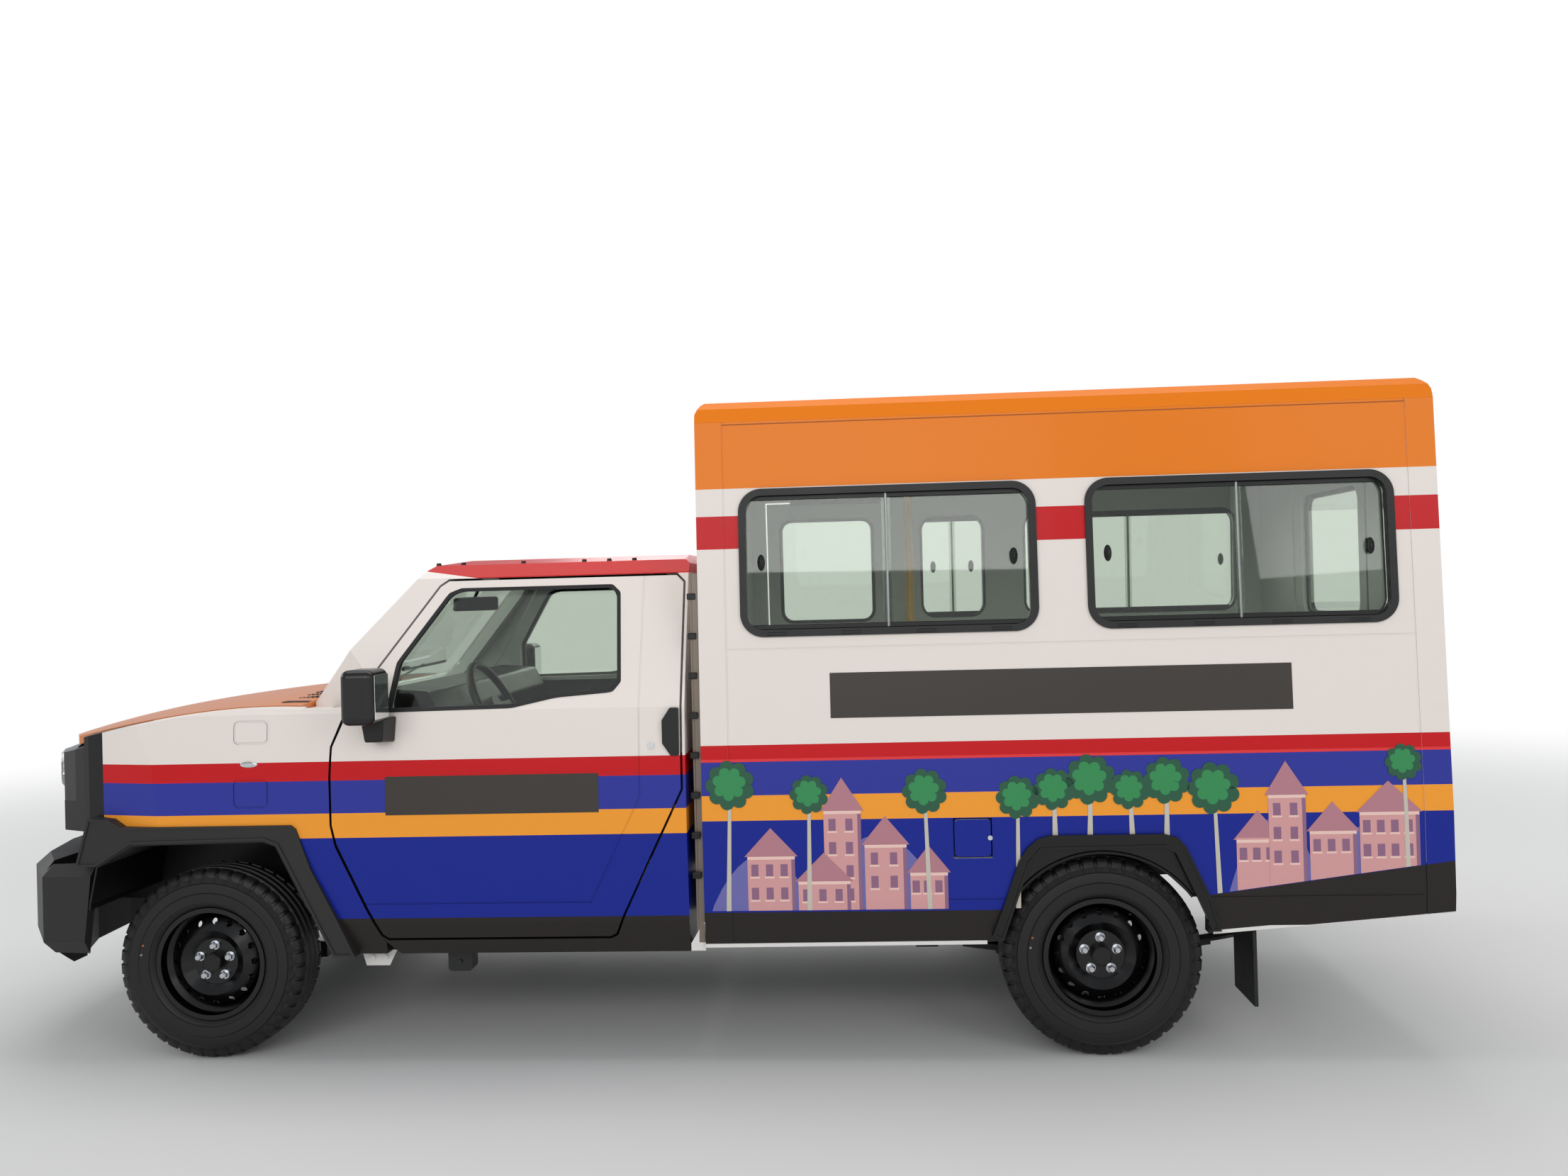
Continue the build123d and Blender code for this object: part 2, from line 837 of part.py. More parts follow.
def box_half_at(z):
    if z <= box_waist_z:
        return box_half
    return box_half - (z - box_waist_z) * box_lean


def box_section(inset, top_drop):
    edge = box_half_at(box_seam_z)
    right = [
        (box_half - box_tuck - inset, 0.0),
        (box_half - box_tuck - inset, box_bottom_z),
        (box_half - inset, box_crease_z),
        (box_half - inset, box_waist_z),
        (edge - inset, box_seam_z),
        (edge - 16 - inset, box_edge_z - 22 - top_drop),
        (edge - 62 - inset, box_edge_z + 6 - top_drop),
        (box_crown_half, box_roof_z - top_drop),
    ]
    left = [(-y, z) for y, z in reversed(right)]
    return right + left


def box_form(inset, bottom=None, top_drop=None):
    low = box_bottom_z if bottom is None else bottom
    drop = inset if top_drop is None else top_drop
    front = box_front_x + inset
    rear = box_rear_x - inset
    top = box_roof_z - drop
    body = end_prism(box_section(inset, drop), front, rear)
    ends = side_prism([
        (front, low), (front, top - 72), (front + 16, top - 38), (front + 58, top + 1),
        (rear - 58, top + 1), (rear - 16, top - 38), (rear, top - 72), (rear, low),
    ], -1000, 1000)
    return body & ends


def rear_arch_points(margin):
    """The wheel opening in the box side, from the front lower corner over the wheel to the rear."""
    base = [
        (2752.0, 200.0),
        (2752.0, 405.0),
        (2846.0, 662.0),
        (2886.0, 706.0),
        (3288.0, 710.0),
        (3322.0, 690.0),
        (3420.0, 470.0),
        (3420.0, 200.0),
    ]
    return grown([(rear_axle_x + x - 3085.0, z) for x, z in base], margin)


rear_flare_outline = [
    (2716.0, 423.0),
    (2753.0, 514.0),
    (2808.0, 668.0),
    (2837.0, 713.0),
    (2872.0, 742.0),
    (2912.0, 754.0),
    (3286.0, 754.0),
    (3331.0, 740.0),
    (3358.0, 706.0),
    (3432.0, 540.0),
    (3462.0, 432.0),
    (3432.0, 432.0),
    (3322.0, 690.0),
    (3288.0, 710.0),
    (2886.0, 706.0),
    (2846.0, 662.0),
    (2752.0, 405.0),
]


def side_wall_outline():
    rear = [(box_rear_x, box_seam_z), (box_front_x, box_seam_z)]
    bottom = [
        (box_front_x, box_bottom_z),
        (rear_axle_x - 380, box_bottom_z + 8),
        (rear_axle_x + 380, box_bottom_z + 31),
        (box_rear_x, 486.0),
    ]
    return bottom + rear


def window_outline(x0, x1, margin):
    return [
        (x0 - margin, window_sill_z - margin),
        (x1 + margin, window_sill_z - margin),
        (x1 + margin, window_head_z + margin),
        (x0 - margin, window_head_z + margin),
    ]


# Windows of the box sides: side, front and rear edge behind the front axle
side_windows = [
    ("left", 1900.0, 2904.0),
    ("left", 3066.0, 4072.0),
    ("right", 2584.0, 2912.0),
    ("right", 3066.0, 4072.0),
]


def side_span(side):
    return (-1000, -600) if side == "left" else (600, 1000)


def entry_outline(margin):
    x0 = fx(step_x0) - margin
    x1 = fx(step_x1) + margin
    return [
        (x0, entry_low_z - margin),
        (x1, entry_low_z - margin),
        (x1, entry_high_z + margin),
        (x0, entry_high_z + margin),
    ]


def make_box_side(side):
    y0, y1 = side_span(side)
    wall = box_form(0, box_bottom_z, 0) & block(box_front_x - 10, box_rear_x + 10, y0, y1, 0, box_seam_z)
    wall -= box_form(box_wall, 0, 0)
    wall &= side_prism(side_wall_outline(), y0, y1)
    inner = box_half_at(box_seam_z) - box_wall - 60
    wall -= block(box_front_x - 20, box_rear_x + 20, -inner, inner, 0, 3000)
    # The end walls stand between the sides
    for x0, x1 in ((box_front_x, box_front_x + box_wall), (box_rear_x - box_wall, box_rear_x)):
        end = end_prism(box_section(box_wall, 0), x0 - 1, x1 + 1)
        wall -= end
    for name, x0, x1 in side_windows:
        if name == side:
            wall -= side_prism(window_outline(fx(x0), fx(x1), -window_rubber / 2), y0, y1, radius=window_corner)
    wall -= side_prism(rear_arch_points(6), y0, y1)
    if side == "left":
        pocket_y = -box_half + fuel_pocket_depth
        wall -= block(fx(fuel_x0), fx(fuel_x1), -1000, pocket_y, fuel_z0, fuel_z1)
    else:
        wall -= side_prism(entry_outline(0), y0, y1)
    return wall - side_lines(side)


def side_lines(side):
    """Pressed lines of the box side: both posts, under the windows and above the tucked sill."""
    front = fx(post_line_front)
    rear = fx(post_line_rear)
    runs = [
        [(front, box_bottom_z), (front, box_seam_z)],
        [(rear, box_bottom_z), (rear, box_seam_z)],
        [(front, belt_line_z), (rear, belt_line_z)],
        [(front, box_crease_z), (rear, box_crease_z)],
    ]
    lines = joined([line_band(run, groove_width, *side_span(side)) for run in runs])
    return lines & (box_form(-groove_depth, 0, 0) - box_form(groove_depth, 0, 0))


def make_box_end_wall(place, rear):
    x0 = place if not rear else place - box_wall
    low = box_floor_z - 130 if rear else box_floor_z - 60
    wall = end_prism(box_section(box_wall + seat_gap, 0), x0, x0 + box_wall)
    return wall & block(x0 - 5, x0 + box_wall + 5, -1000, 1000, low, box_seam_z)


def make_front_wall():
    return make_box_end_wall(box_front_x, False)


def make_rear_wall():
    wall = make_box_end_wall(box_rear_x, True)
    wall -= block(box_rear_x - 100, box_rear_x + 100, -rear_door_half, rear_door_half,
                  rear_door_low, rear_door_high)
    for side in (-1, 1):
        y = side * plate_hole_spacing / 2 + rear_plate_y
        wall -= rod((box_rear_x - 100, y, rear_plate_z), (box_rear_x + 100, y, rear_plate_z), plate_hole_radius)
    return wall


def make_box_roof():
    roof = box_form(0, 1500, 0) - box_form(box_roof_skin, 0, box_roof_skin)
    roof &= block(box_front_x - 10, box_rear_x + 10, -1000, 1000, box_seam_z + seat_gap, box_roof_z + 10)
    return roof


def make_box_floor():
    """Floor plate with wells for the rear wheels, the entry step and packers on the rails."""
    edge = box_half - box_wall - seat_gap
    front = box_front_x + box_wall + seat_gap
    rear = box_rear_x - box_wall - seat_gap
    top = box_floor_z + box_floor_thickness
    floor = block(front, rear, -edge, edge, box_floor_z, top)
    skin = 12.0
    well_front = rear_axle_x - wheel_well_half
    well_rear = rear_axle_x + wheel_well_half
    for side in (-1, 1):
        y0, y1 = sorted((side * edge, side * wheel_well_inner))
        floor -= block(well_front, well_rear, *sorted((side * 1000, side * wheel_well_inner)), 0, 1000)
        well = block(well_front, well_rear, y0, y1, box_floor_z, wheel_well_top)
        hollow_y = sorted((side * (edge + 5), side * (wheel_well_inner + skin)))
        well -= block(well_front + skin, well_rear - skin, *hollow_y, box_floor_z - 5, wheel_well_top - skin)
        floor += well
    step_front = fx(step_x0)
    step_rear = fx(step_x1)
    step_outer = box_half - box_wall - 17
    floor -= block(step_front, step_rear, step_inner, 1000, 0, 1000)
    floor += block(step_front, step_rear, step_inner, step_outer, step_z, step_z + 20)
    floor += block(step_front, step_rear, step_inner, step_inner + skin, step_z, top)
    floor += block(step_front, step_front + skin, step_inner, step_outer, step_z, top)
    floor += block(step_rear - skin, step_rear, step_inner, step_outer, step_z, top)
    # start, end, height of the rail's top face
    for start, end, low in (
        (box_front_x + 60, rear_axle_x - 500, rail_mid_high),
        (rear_axle_x - 290, box_rear_x - 120, rail_kick_high),
    ):
        for side in (-1, 1):
            y0 = side * rail_half - rail_width / 2
            floor += block(start, end, y0, y0 + rail_width, low + seat_gap, box_floor_z)
    return floor


def window_ring(x0, x1, side):
    """A rubber surround that grips the edge of the window opening."""
    y0, y1 = side_span(side)
    outer = side_prism(window_outline(x0, x1, 0), y0, y1, radius=window_corner + window_rubber / 2)
    inner = side_prism(window_outline(x0, x1, -window_rubber), y0, y1, radius=window_corner - window_rubber / 2)
    proud = box_form(-window_rubber_depth, box_bottom_z, 0) - box_form(-seat_gap, 0, 0)
    ring = (outer - inner) & proud
    grip = side_prism(window_outline(x0, x1, -window_rubber / 2 - seat_gap), y0, y1, radius=window_corner)
    lining = (grip - inner) & (box_form(-seat_gap, box_bottom_z, 0) - box_form(box_wall, 0, 0))
    return ring + lining


def window_panes(x0, x1, side):
    """Two sliding panes that overlap at the middle of the opening."""
    y0, y1 = side_span(side)
    middle = (x0 + x1) / 2
    panes = None
    for index, (low, high) in enumerate(((x0, middle + 15), (middle - 15, x1))):
        depth = 14 + index * (pane_thickness + 2)
        span = side_prism(window_outline(x0, x1, -window_rubber - seat_gap), y0, y1,
                          radius=window_corner - window_rubber / 2)
        span &= block(low, high, y0, y1, 0, 3000)
        pane = span & (box_form(depth, box_bottom_z, 0) - box_form(depth + pane_thickness, 0, 0))
        panes = pane if panes is None else panes + pane
    return panes


def box_windows(side, builder):
    result = None
    for name, x0, x1 in side_windows:
        if name == side:
            piece = builder(fx(x0), fx(x1), side)
            result = piece if result is None else result + piece
    return result


def make_rear_flares():
    points = [(rear_axle_x + x - 3085.0, z) for x, z in rear_flare_outline]
    flare = side_prism(points, -box_half - flare_thickness, -box_half + box_wall)
    flare -= box_form(-flare_seat, 0, 0)
    flare -= side_prism(rear_arch_points(0), -1000, -600)
    flare -= side_prism(grown(points, -flare_rim), -1000, -box_half - flare_thickness + flare_step)
    return flare + mirrored(flare)


def make_fuel_flap():
    gap = 5.0
    y = -box_half
    flap = block(fx(fuel_x0) + gap, fx(fuel_x1) - gap, y, y + fuel_flap_thickness, fuel_z0 + gap, fuel_z1 - gap)
    return fillet(flap.edges().filter_by(Axis.Y), radius=14)


def make_filler_cap():
    x = fx((fuel_x0 + fuel_x1) / 2)
    z = (fuel_z0 + fuel_z1) / 2
    floor_y = -box_half + fuel_pocket_depth - seat_gap
    cap = cross_rod(x, z, floor_y - 12, floor_y, 36)
    return cap


def make_passenger_door():
    outline = side_prism(entry_outline(-panel_gap), 600, 1000)
    skin = (box_form(0, box_bottom_z, 0) - box_form(cab_skin, 0, 0)) & outline
    inner_outline = outline & block(fx(0), fx(step_x1) - panel_gap - 18, 600, 1000, 0, 3000)
    back = (box_form(cab_skin, box_bottom_z, 0) - box_form(40, 0, 0)) & inner_outline
    door = skin + back
    window = side_prism(passenger_window(0), 600, 1000, radius=60)
    lower = side_prism(passenger_lower(0), 600, 1000, radius=40)
    return door - window - lower


def passenger_window(margin):
    x0 = fx(step_x0 + 62)
    x1 = fx(step_x1 - 70)
    return [(x0 - margin, 1432 - margin), (x1 + margin, 1432 - margin),
            (x1 + margin, 1930 + margin), (x0 - margin, 1930 + margin)]


def passenger_lower(margin):
    x0 = fx(step_x0 + 62)
    x1 = fx(step_x1 - 70)
    return [(x0 - margin, 860 - margin), (x1 + margin, 860 - margin),
            (x1 + margin, 1330 + margin), (x0 - margin, 1330 + margin)]


def make_passenger_glass():
    layer = box_form(18, box_bottom_z, 0) - box_form(24, 0, 0)
    panes = side_prism(passenger_window(-seat_gap), 600, 1000, radius=60)
    panes += side_prism(passenger_lower(-seat_gap), 600, 1000, radius=40)
    return layer & panes


def make_rear_door():
    half = rear_door_half - panel_gap
    door = block(box_rear_x - 40, box_rear_x, -half, half, rear_door_low + panel_gap, rear_door_high - panel_gap)
    door -= rear_door_window(0, 200)
    handle = block(box_rear_x - 1, box_rear_x + box_rear_setback - 4, -half + 30, -half + 62, 1040, 1200)
    return door + handle


def rear_door_window(margin, depth):
    points = [(-290 - margin, 1432 - margin), (290 + margin, 1432 - margin),
              (290 + margin, 1930 + margin), (-290 - margin, 1930 + margin)]
    return end_prism(points, box_rear_x - depth / 2, box_rear_x + depth / 2, radius=60)


def make_rear_door_glass():
    points = [(-290 + seat_gap, 1432 + seat_gap), (290 - seat_gap, 1432 + seat_gap),
              (290 - seat_gap, 1930 - seat_gap), (-290 + seat_gap, 1930 - seat_gap)]
    return end_prism(points, box_rear_x - 24, box_rear_x - 18, radius=60)


def edge_seal(outline, keep, thin):
    """A band that laps an opening's edge, on the given side outline."""
    band = side_prism(grown(outline, seal_width - seal_lap), -1000, 1000)
    band -= side_prism(grown(outline, -panel_gap - seal_lap), -1000, 1000)
    return band & keep & thin


def make_seals():
    """Rubber seals that the closed doors, hood and fuel flap rest against."""
    # Cab doors: sill, rear edge and head, clear of the front edge that turns inwards
    layer = cab_form(cab_wall + seat_gap) - cab_form(cab_wall + seat_gap + 12)
    keep = block(fx(1000), fx(1750), -1000, -400, 700, 1700)
    cab = edge_seal(at_cab(door_points), keep, layer)
    seals = cab + mirrored(cab)
    # Passenger door
    layer = box_form(40 + seat_gap, 0, 0) - box_form(40 + seat_gap + 12, 0, 0)
    layer &= box_form(box_wall + seat_gap, 0, 0) + side_prism(entry_outline(-seat_gap), 600, 1000)
    keep = block(fx(step_x0) + 120, fx(step_x1) + 40, 600, 1000, box_floor_z + 60, 2100)
    seals += edge_seal(entry_outline(0), keep, layer)
    # Rear door
    door_depth = 40.0
    half = rear_door_half
    outer = [(-half, rear_door_low), (half, rear_door_low), (half, rear_door_high), (-half, rear_door_high)]
    ring = end_prism(grown(outer, -seat_gap), box_rear_x - box_wall, box_rear_x - door_depth - seat_gap)
    ring -= end_prism(grown(outer, -panel_gap - seal_lap), box_rear_x - 100, box_rear_x)
    seals += ring & block(box_rear_x - 100, box_rear_x, -half, half - 60, box_floor_z + 60, 2100)
    # Hood stops on the nose panel, and the stop behind the fuel flap
    for y in (-300, 300):
        x = fx(-hood_front + 26)
        stop = rod((x, y, 1000), (x, y, 1300), 8) & hood_crown(hood_thickness + seat_gap)
        seals += stop - hood_crown(hood_thickness + 8 - seat_gap)
    flap_inner = -box_half + fuel_flap_thickness
    pocket_floor = -box_half + fuel_pocket_depth - seat_gap
    seals += cross_rod(fx(fuel_x1) - 18, fuel_z1 - 22, flap_inner + seat_gap, pocket_floor, 6)
    return seals


def make_tail_lamps():
    lamps = None
    for side in (-1, 1):
        y0, y1 = sorted((side * 640, side * 760))
        lamp = block(box_rear_x + seat_gap, box_rear_x + box_rear_setback, y0, y1, 760, 1090)
        lamp = fillet(lamp.edges().filter_by(Axis.X), radius=16)
        lamps = lamp if lamps is None else lamps + lamp
    return lamps


# Benches, rails and posts inside the box


def bench_spans():
    wall = box_half_at(1400) - box_wall - 4
    # side, front, rear, inner face of the wall
    return [(-1, 1900.0, 4080.0, wall), (1, 2600.0, 4080.0, wall)]


def make_bench_frames():
    frames = None
    floor_top = box_floor_z + box_floor_thickness + seat_gap
    for side, x0, x1, wall in bench_spans():
        y0, y1 = sorted((side * wall, side * (wall - bench_depth)))
        top = bench_seat_z - bench_cushion
        deck = block(fx(x0), fx(x1), y0, y1, top - 30, top - seat_gap)
        front = side * (wall - bench_depth + 20)
        frames = deck if frames is None else frames + deck
        for place in (x0 + 40, (x0 + x1) / 2, x1 - 40):
            frames += block(fx(place) - 18, fx(place) + 18, front - 18, front + 18, floor_top, top - 20)
    return frames


def make_bench_cushions():
    cushions = None
    for side, x0, x1, wall in bench_spans():
        y0, y1 = sorted((side * (wall - 95), side * (wall - bench_depth)))
        seat = block(fx(x0), fx(x1), y0, y1, bench_seat_z - bench_cushion, bench_seat_z)
        y0, y1 = sorted((side * (wall - 4), side * (wall - 74)))
        back = block(fx(x0), fx(x1), y0, y1, bench_seat_z - bench_cushion, 1405)
        piece = fillet(seat.edges().filter_by(Axis.X), radius=18)
        piece += fillet(back.edges().filter_by(Axis.X), radius=18)
        cushions = piece if cushions is None else cushions + piece
    return cushions


def make_grab_rails():
    rails = None
    ceiling = box_roof_z - box_roof_skin - seat_gap
    for side in (-1, 1):
        y = side * rail_pipe_y
        rail = rod((fx(1900), y, rail_pipe_z), (fx(4080), y, rail_pipe_z), rail_pipe)
        for place in (1960.0, 3000.0, 4020.0):
            rail += rod((fx(place), y, rail_pipe_z), (fx(place), y, ceiling), rail_pipe - 4)
        rails = rail if rails is None else rails + rail
    return rails


def make_stanchion():
    x = fx(2531)
    floor_top = box_floor_z + box_floor_thickness + seat_gap
    return rod((x, 500, floor_top), (x, 500, box_roof_z - box_roof_skin - seat_gap), 18)


# Cab interior

def make_dashboard():
    points = [
        (505.0, 900.0),
        (505.0, 1235.0),
        (600.0, 1275.0),
        (760.0, 1262.0),
        (800.0, 1180.0),
        (740.0, 960.0),
        (690.0, 900.0),
    ]
    half = half_width(1205, cab_section) - cab_wall
    dash = side_prism(at_cab(points), -half, half, radius=24) & cab_form(cab_wall + seat_gap, cab_floor_z)
    # The ends meet the screen pillars and stand clear of the doors
    beside_door = side_prism(at_cab(door_points), -1000, dash_door_gap - half)
    return dash - beside_door - mirrored(beside_door)


def make_cab_seats():
    seats = None
    floor_top = cab_floor_z + cab_floor_thickness
    # centre line and half width of each seat
    for centre, half in ((steering_wheel_y, 250.0), (330.0, 300.0)):
        base = block(fx(1010), fx(1440), centre - half + 60, centre + half - 60, floor_top + seat_gap, floor_top + 120)
        cushion = side_prism(at_cab([(950, 715), (950, 850), (1000, 868), (1440, 835), (1440, 715)]),
                             centre - half, centre + half, radius=20)
        back = side_prism(at_cab([(1442, 800), (1400, 860), (1478, 1280), (1560, 1270), (1545, 800)]),
                          centre - half, centre + half, radius=20)
        head = side_prism(at_cab([(1478, 1290), (1495, 1430), (1560, 1430), (1560, 1285)]),
                          centre - 130, centre + 130, radius=18)
        posts = block(fx(1510), fx(1530), centre - 60, centre - 48, 1260, 1310)
        posts += block(fx(1510), fx(1530), centre + 48, centre + 60, 1260, 1310)
        seat = base + cushion + back + head + posts
        seats = seat if seats is None else seats + seat
    return seats


def column_axis():
    return Vector(cos(radians(column_lean)), 0, sin(radians(column_lean)))


def steering_centre():
    return Vector(fx(wheel_hub_x), steering_wheel_y, wheel_hub_z)


def make_steering_column():
    axis = column_axis()
    top = steering_centre() - axis * (34 + seat_gap)
    bottom = steering_centre() - axis * 150
    column = rod((bottom.X, bottom.Y, bottom.Z), (top.X, top.Y, top.Z), 38)
    return column - make_dashboard()


def make_steering_wheel():
    centre = steering_centre()
    axis = column_axis()
    plane = Plane(origin=centre, x_dir=(0, 1, 0), z_dir=axis)
    rim = Torus(steering_wheel_radius, steering_wheel_tube)
    hub = Pos(0, 0, -12) * Cylinder(52, 44)
    spokes = Pos(0, 0, 0) * Box(2 * steering_wheel_radius - 10, 34, 14)
    spokes += Pos(0, -steering_wheel_radius / 2, 0) * Box(34, steering_wheel_radius - 8, 14)
    return plane * (rim + hub + spokes)


# Chassis

def make_frame_rails():
    """The two kicked-up rails of the ladder frame, with the horns that carry the bumper."""
    kick_start = rear_axle_x - 480
    kick_end = rear_axle_x - 300
    rail = side_prism([
        (frame_front_x, 470), (frame_front_x, 590), (fx(420), 560), (fx(560), rail_mid_high),
        (kick_start, rail_mid_high), (kick_end, rail_kick_high), (frame_rear_x, rail_kick_high),
        (frame_rear_x, rail_kick_low + 20), (kick_end + 40, rail_kick_low), (kick_start + 20, rail_mid_low),
        (fx(540), rail_mid_low), (fx(400), 430),
    ], rail_half - rail_width / 2, rail_half + rail_width / 2)
    horn = block(fx(-686.6), frame_front_x, rail_half - rail_width / 2, rail_half + rail_width / 2, 563, 590)
    rail += horn
    return rail + mirrored(rail)


def make_frame_members():
    """Cross members between the rails, outriggers outside them and the cab's rubber mounts."""
    inner = rail_half - rail_width / 2 - seat_gap
    outer = rail_half + rail_width / 2 + seat_gap
    # place, length, half width, lower face, height
    pieces = [
        block(place, place + length, -half, half, low, low + height)
        for place, length, half, low, height in (
            (fx(-600), 60.0, inner, 490.0, 80.0),
            (fx(600), 70.0, outer, gearbox_low - 46, 46.0 - seat_gap),
            (fx(1640), 60.0, inner, 470.0, 55.0),
            (fx(2250), 60.0, inner, 470.0, 55.0),
            (rear_axle_x - 200, 60.0, inner, 515.0, 80.0),
            (rear_axle_x + 500, 60.0, inner, 525.0, 80.0),
            (frame_rear_x - 60, 60.0, inner, 525.0, 80.0),
        )
    ]
    # Outriggers carry the cab rockers and the box sides
    cab_reach = cab_section[0][1] - rocker_width - seat_gap
    box_reach = box_half - box_wall - 14.0
    # place, reach from the centre line, lower face, upper face
    for place, reach, low, high in (
        (fx(760), cab_reach, 440.0, 500.0),
        (fx(1560), cab_reach, 440.0, 500.0),
        (fx(1800), box_reach, 440.0, 500.0),
        (rear_axle_x + spring_half + 28, box_reach + 10, 540.0, 600.0),
        (frame_rear_x - 120, box_reach + 10, 540.0, 600.0),
    ):
        for side in (-1, 1):
            y0, y1 = sorted((side * outer, side * reach))
            pieces.append(block(place, place + outrigger_width, y0, y1, low, high))
    # Rubber mounts under the cab floor
    for place in (fx(700), fx(1600)):
        for side in (-1, 1):
            y = side * rail_half
            low = rail_mid_high + seat_gap
            pieces.append(rod((place, y, low), (place, y, cab_floor_z - seat_gap), cab_mount_radius))
    return joined(pieces)


def make_sill_brackets():
    """On each side a chamfered jacking plate with two bolts, and a folded hanger with one bolt."""
    high = rocker_z - seat_gap
    low = high - jack_plate_drop
    outline = [
        (jack_plate_front, high), (jack_plate_rear, high),
        (jack_plate_rear - jack_plate_drop * 0.5, low), (jack_plate_front + jack_plate_drop * 0.3, low),
    ]
    plate = side_prism(at_cab(outline), -jack_plate_y, -jack_plate_y + bracket_plate)
    flange = block(fx(jack_plate_front), fx(jack_plate_rear), -jack_plate_y, -jack_plate_y + 30,
                   high - bracket_plate, high)
    plate += flange
    middle = (jack_plate_front + jack_plate_rear) / 2
    for reach in (-22, 24):
        head = (fx(middle + reach), -jack_plate_y - 6, high - jack_plate_drop / 2)
        plate += rod(head, (head[0], -jack_plate_y + 1, head[2]), bracket_bolt_radius)
    hanger = block(fx(hanger_front), fx(hanger_rear), -jack_plate_y, -jack_plate_y + hanger_depth,
                   high - hanger_drop, high)
    hanger = fillet(hanger.edges().filter_by(Axis.Y).sort_by(Axis.Z)[:2], radius=14)
    hanger -= block(fx(hanger_front + bracket_plate), fx(hanger_rear - bracket_plate),
                    -jack_plate_y + bracket_plate, 0, high - hanger_drop + bracket_plate, high - bracket_plate)
    middle = (hanger_front + hanger_rear) / 2
    hanger += rod((fx(middle), -jack_plate_y - 6, high - hanger_drop * 0.6),
                  (fx(middle), -jack_plate_y + 1, high - hanger_drop * 0.6), bracket_bolt_radius)
    return both_sides(plate) + both_sides(hanger)


def make_tow_eyes():
    """Flat towing eyes on the ends of the right rail, with the bore upright."""
    eyes = []
    for end_x, way, z in ((frame_front_x, -1, 505.0), (frame_rear_x, 1, 560.0)):
        x0 = end_x + way * seat_gap
        middle = end_x + way * tow_eye_reach
        low = z - tow_eye_thickness / 2
        high = z + tow_eye_thickness / 2
        ends = sorted((x0, middle))
        eye = block(*ends, rail_half - tow_eye_outer, rail_half + tow_eye_outer, low, high)
        eye += rod((middle, rail_half, low), (middle, rail_half, high), tow_eye_outer)
        eye -= rod((middle, rail_half, low - 5), (middle, rail_half, high + 5), tow_eye_radius)
        eyes.append(eye)
    return joined(eyes)


def make_engine():
    engine = block(fx(-480), fx(120), -215, 215, 470, 1010)
    return engine - block(fx(-500), fx(140), -400, -195, 400, 640) - block(fx(-500), fx(140), 195, 400, 400, 640)


def make_gearbox():
    bell = rod((fx(120), 0, 520), (fx(240), 0, 500), 150)
    bell &= block(fx(120), fx(300), -200, 200, 380, cab_floor_z - 10)
    case = block(fx(240), fx(700), -95, 95, gearbox_low + seat_gap, cab_floor_z - 14)
    return bell + case


def make_prop_shaft():
    shaft = rod((fx(782), 0, shaft_front_z), (rear_axle_x - 150, 0, hub_z + 12), 36)
    joint = rod((fx(700) + seat_gap, 0, shaft_front_z), (fx(790), 0, shaft_front_z), 26)
    return shaft + joint


def make_front_suspension():
    """Lower cross beam, two wishbones a side with an eye round the kingpin, and upright dampers."""
    result = block(fx(-95), fx(60), -300, 300, 250, 330)
    rail_inner = rail_half - rail_width / 2 - seat_gap
    rail_outer = rail_half + rail_width / 2 + seat_gap
    for side in (-1, 1):
        y0, y1 = sorted((side * 270, side * rail_inner))
        result += block(fx(-70), fx(70), y0, y1, 300, 490)
        # inner half length, inner reach, height
        for half, reach, low in ((190, 290, lower_arm_z), (130, rail_outer, upper_arm_z)):
            outline = [
                (fx(-half), side * reach), (fx(half), side * reach),
                (fx(30), side * kingpin_y), (fx(-30), side * kingpin_y),
            ]
            arm = plan_prism(outline, low, low + arm_thickness)
            arm += rod((fx(0), side * kingpin_y, low), (fx(0), side * kingpin_y, low + arm_thickness), 30)
            arm -= rod((fx(0), side * kingpin_y, low - 5), (fx(0), side * kingpin_y, low + arm_thickness + 5),
                       kingpin_radius + seat_gap)
            result += arm
        y0, y1 = sorted((side * 280, side * 330))
        result += block(fx(-190), fx(190), y0, y1, lower_arm_z, 252)
        damper_low = lower_arm_z + arm_thickness - 1
        result += rod((fx(0), side * 490, damper_low), (fx(0), side * 470, upper_arm_z + 1), 40)
    return result


def make_knuckle():
    """Left knuckle: upright on its kingpin, stub axle, hub flange, brake disc and steering arm."""
    y = -kingpin_y
    low = lower_arm_z - 8
    high = upper_arm_z + arm_thickness + 8
    pin = rod((front_axle_x, y, low), (front_axle_x, y, high), kingpin_radius)
    upright = block(fx(-38), fx(38), y - 30, y + 30, lower_arm_z + arm_thickness + 4, upper_arm_z - 4)
    stub = cross_rod(front_axle_x, hub_z, -hub_face() + seat_gap, y + 40, 24)
    flange = cross_rod(front_axle_x, hub_z, -hub_face() + seat_gap, -hub_face() + 12, 70)
    disc = cross_rod(front_axle_x, hub_z, y - 62, y - 42, 118)
    arm_high = tie_z - 13 - seat_gap
    arm = block(fx(30), fx(tie_arm + 14), y - 12, y + 12, arm_high - 40, arm_high)
    stud = rod((fx(tie_arm), y, arm_high - 30), (fx(tie_arm), y, tie_z + 17), 7)
    return pin + upright + stub + flange + disc + arm + stud


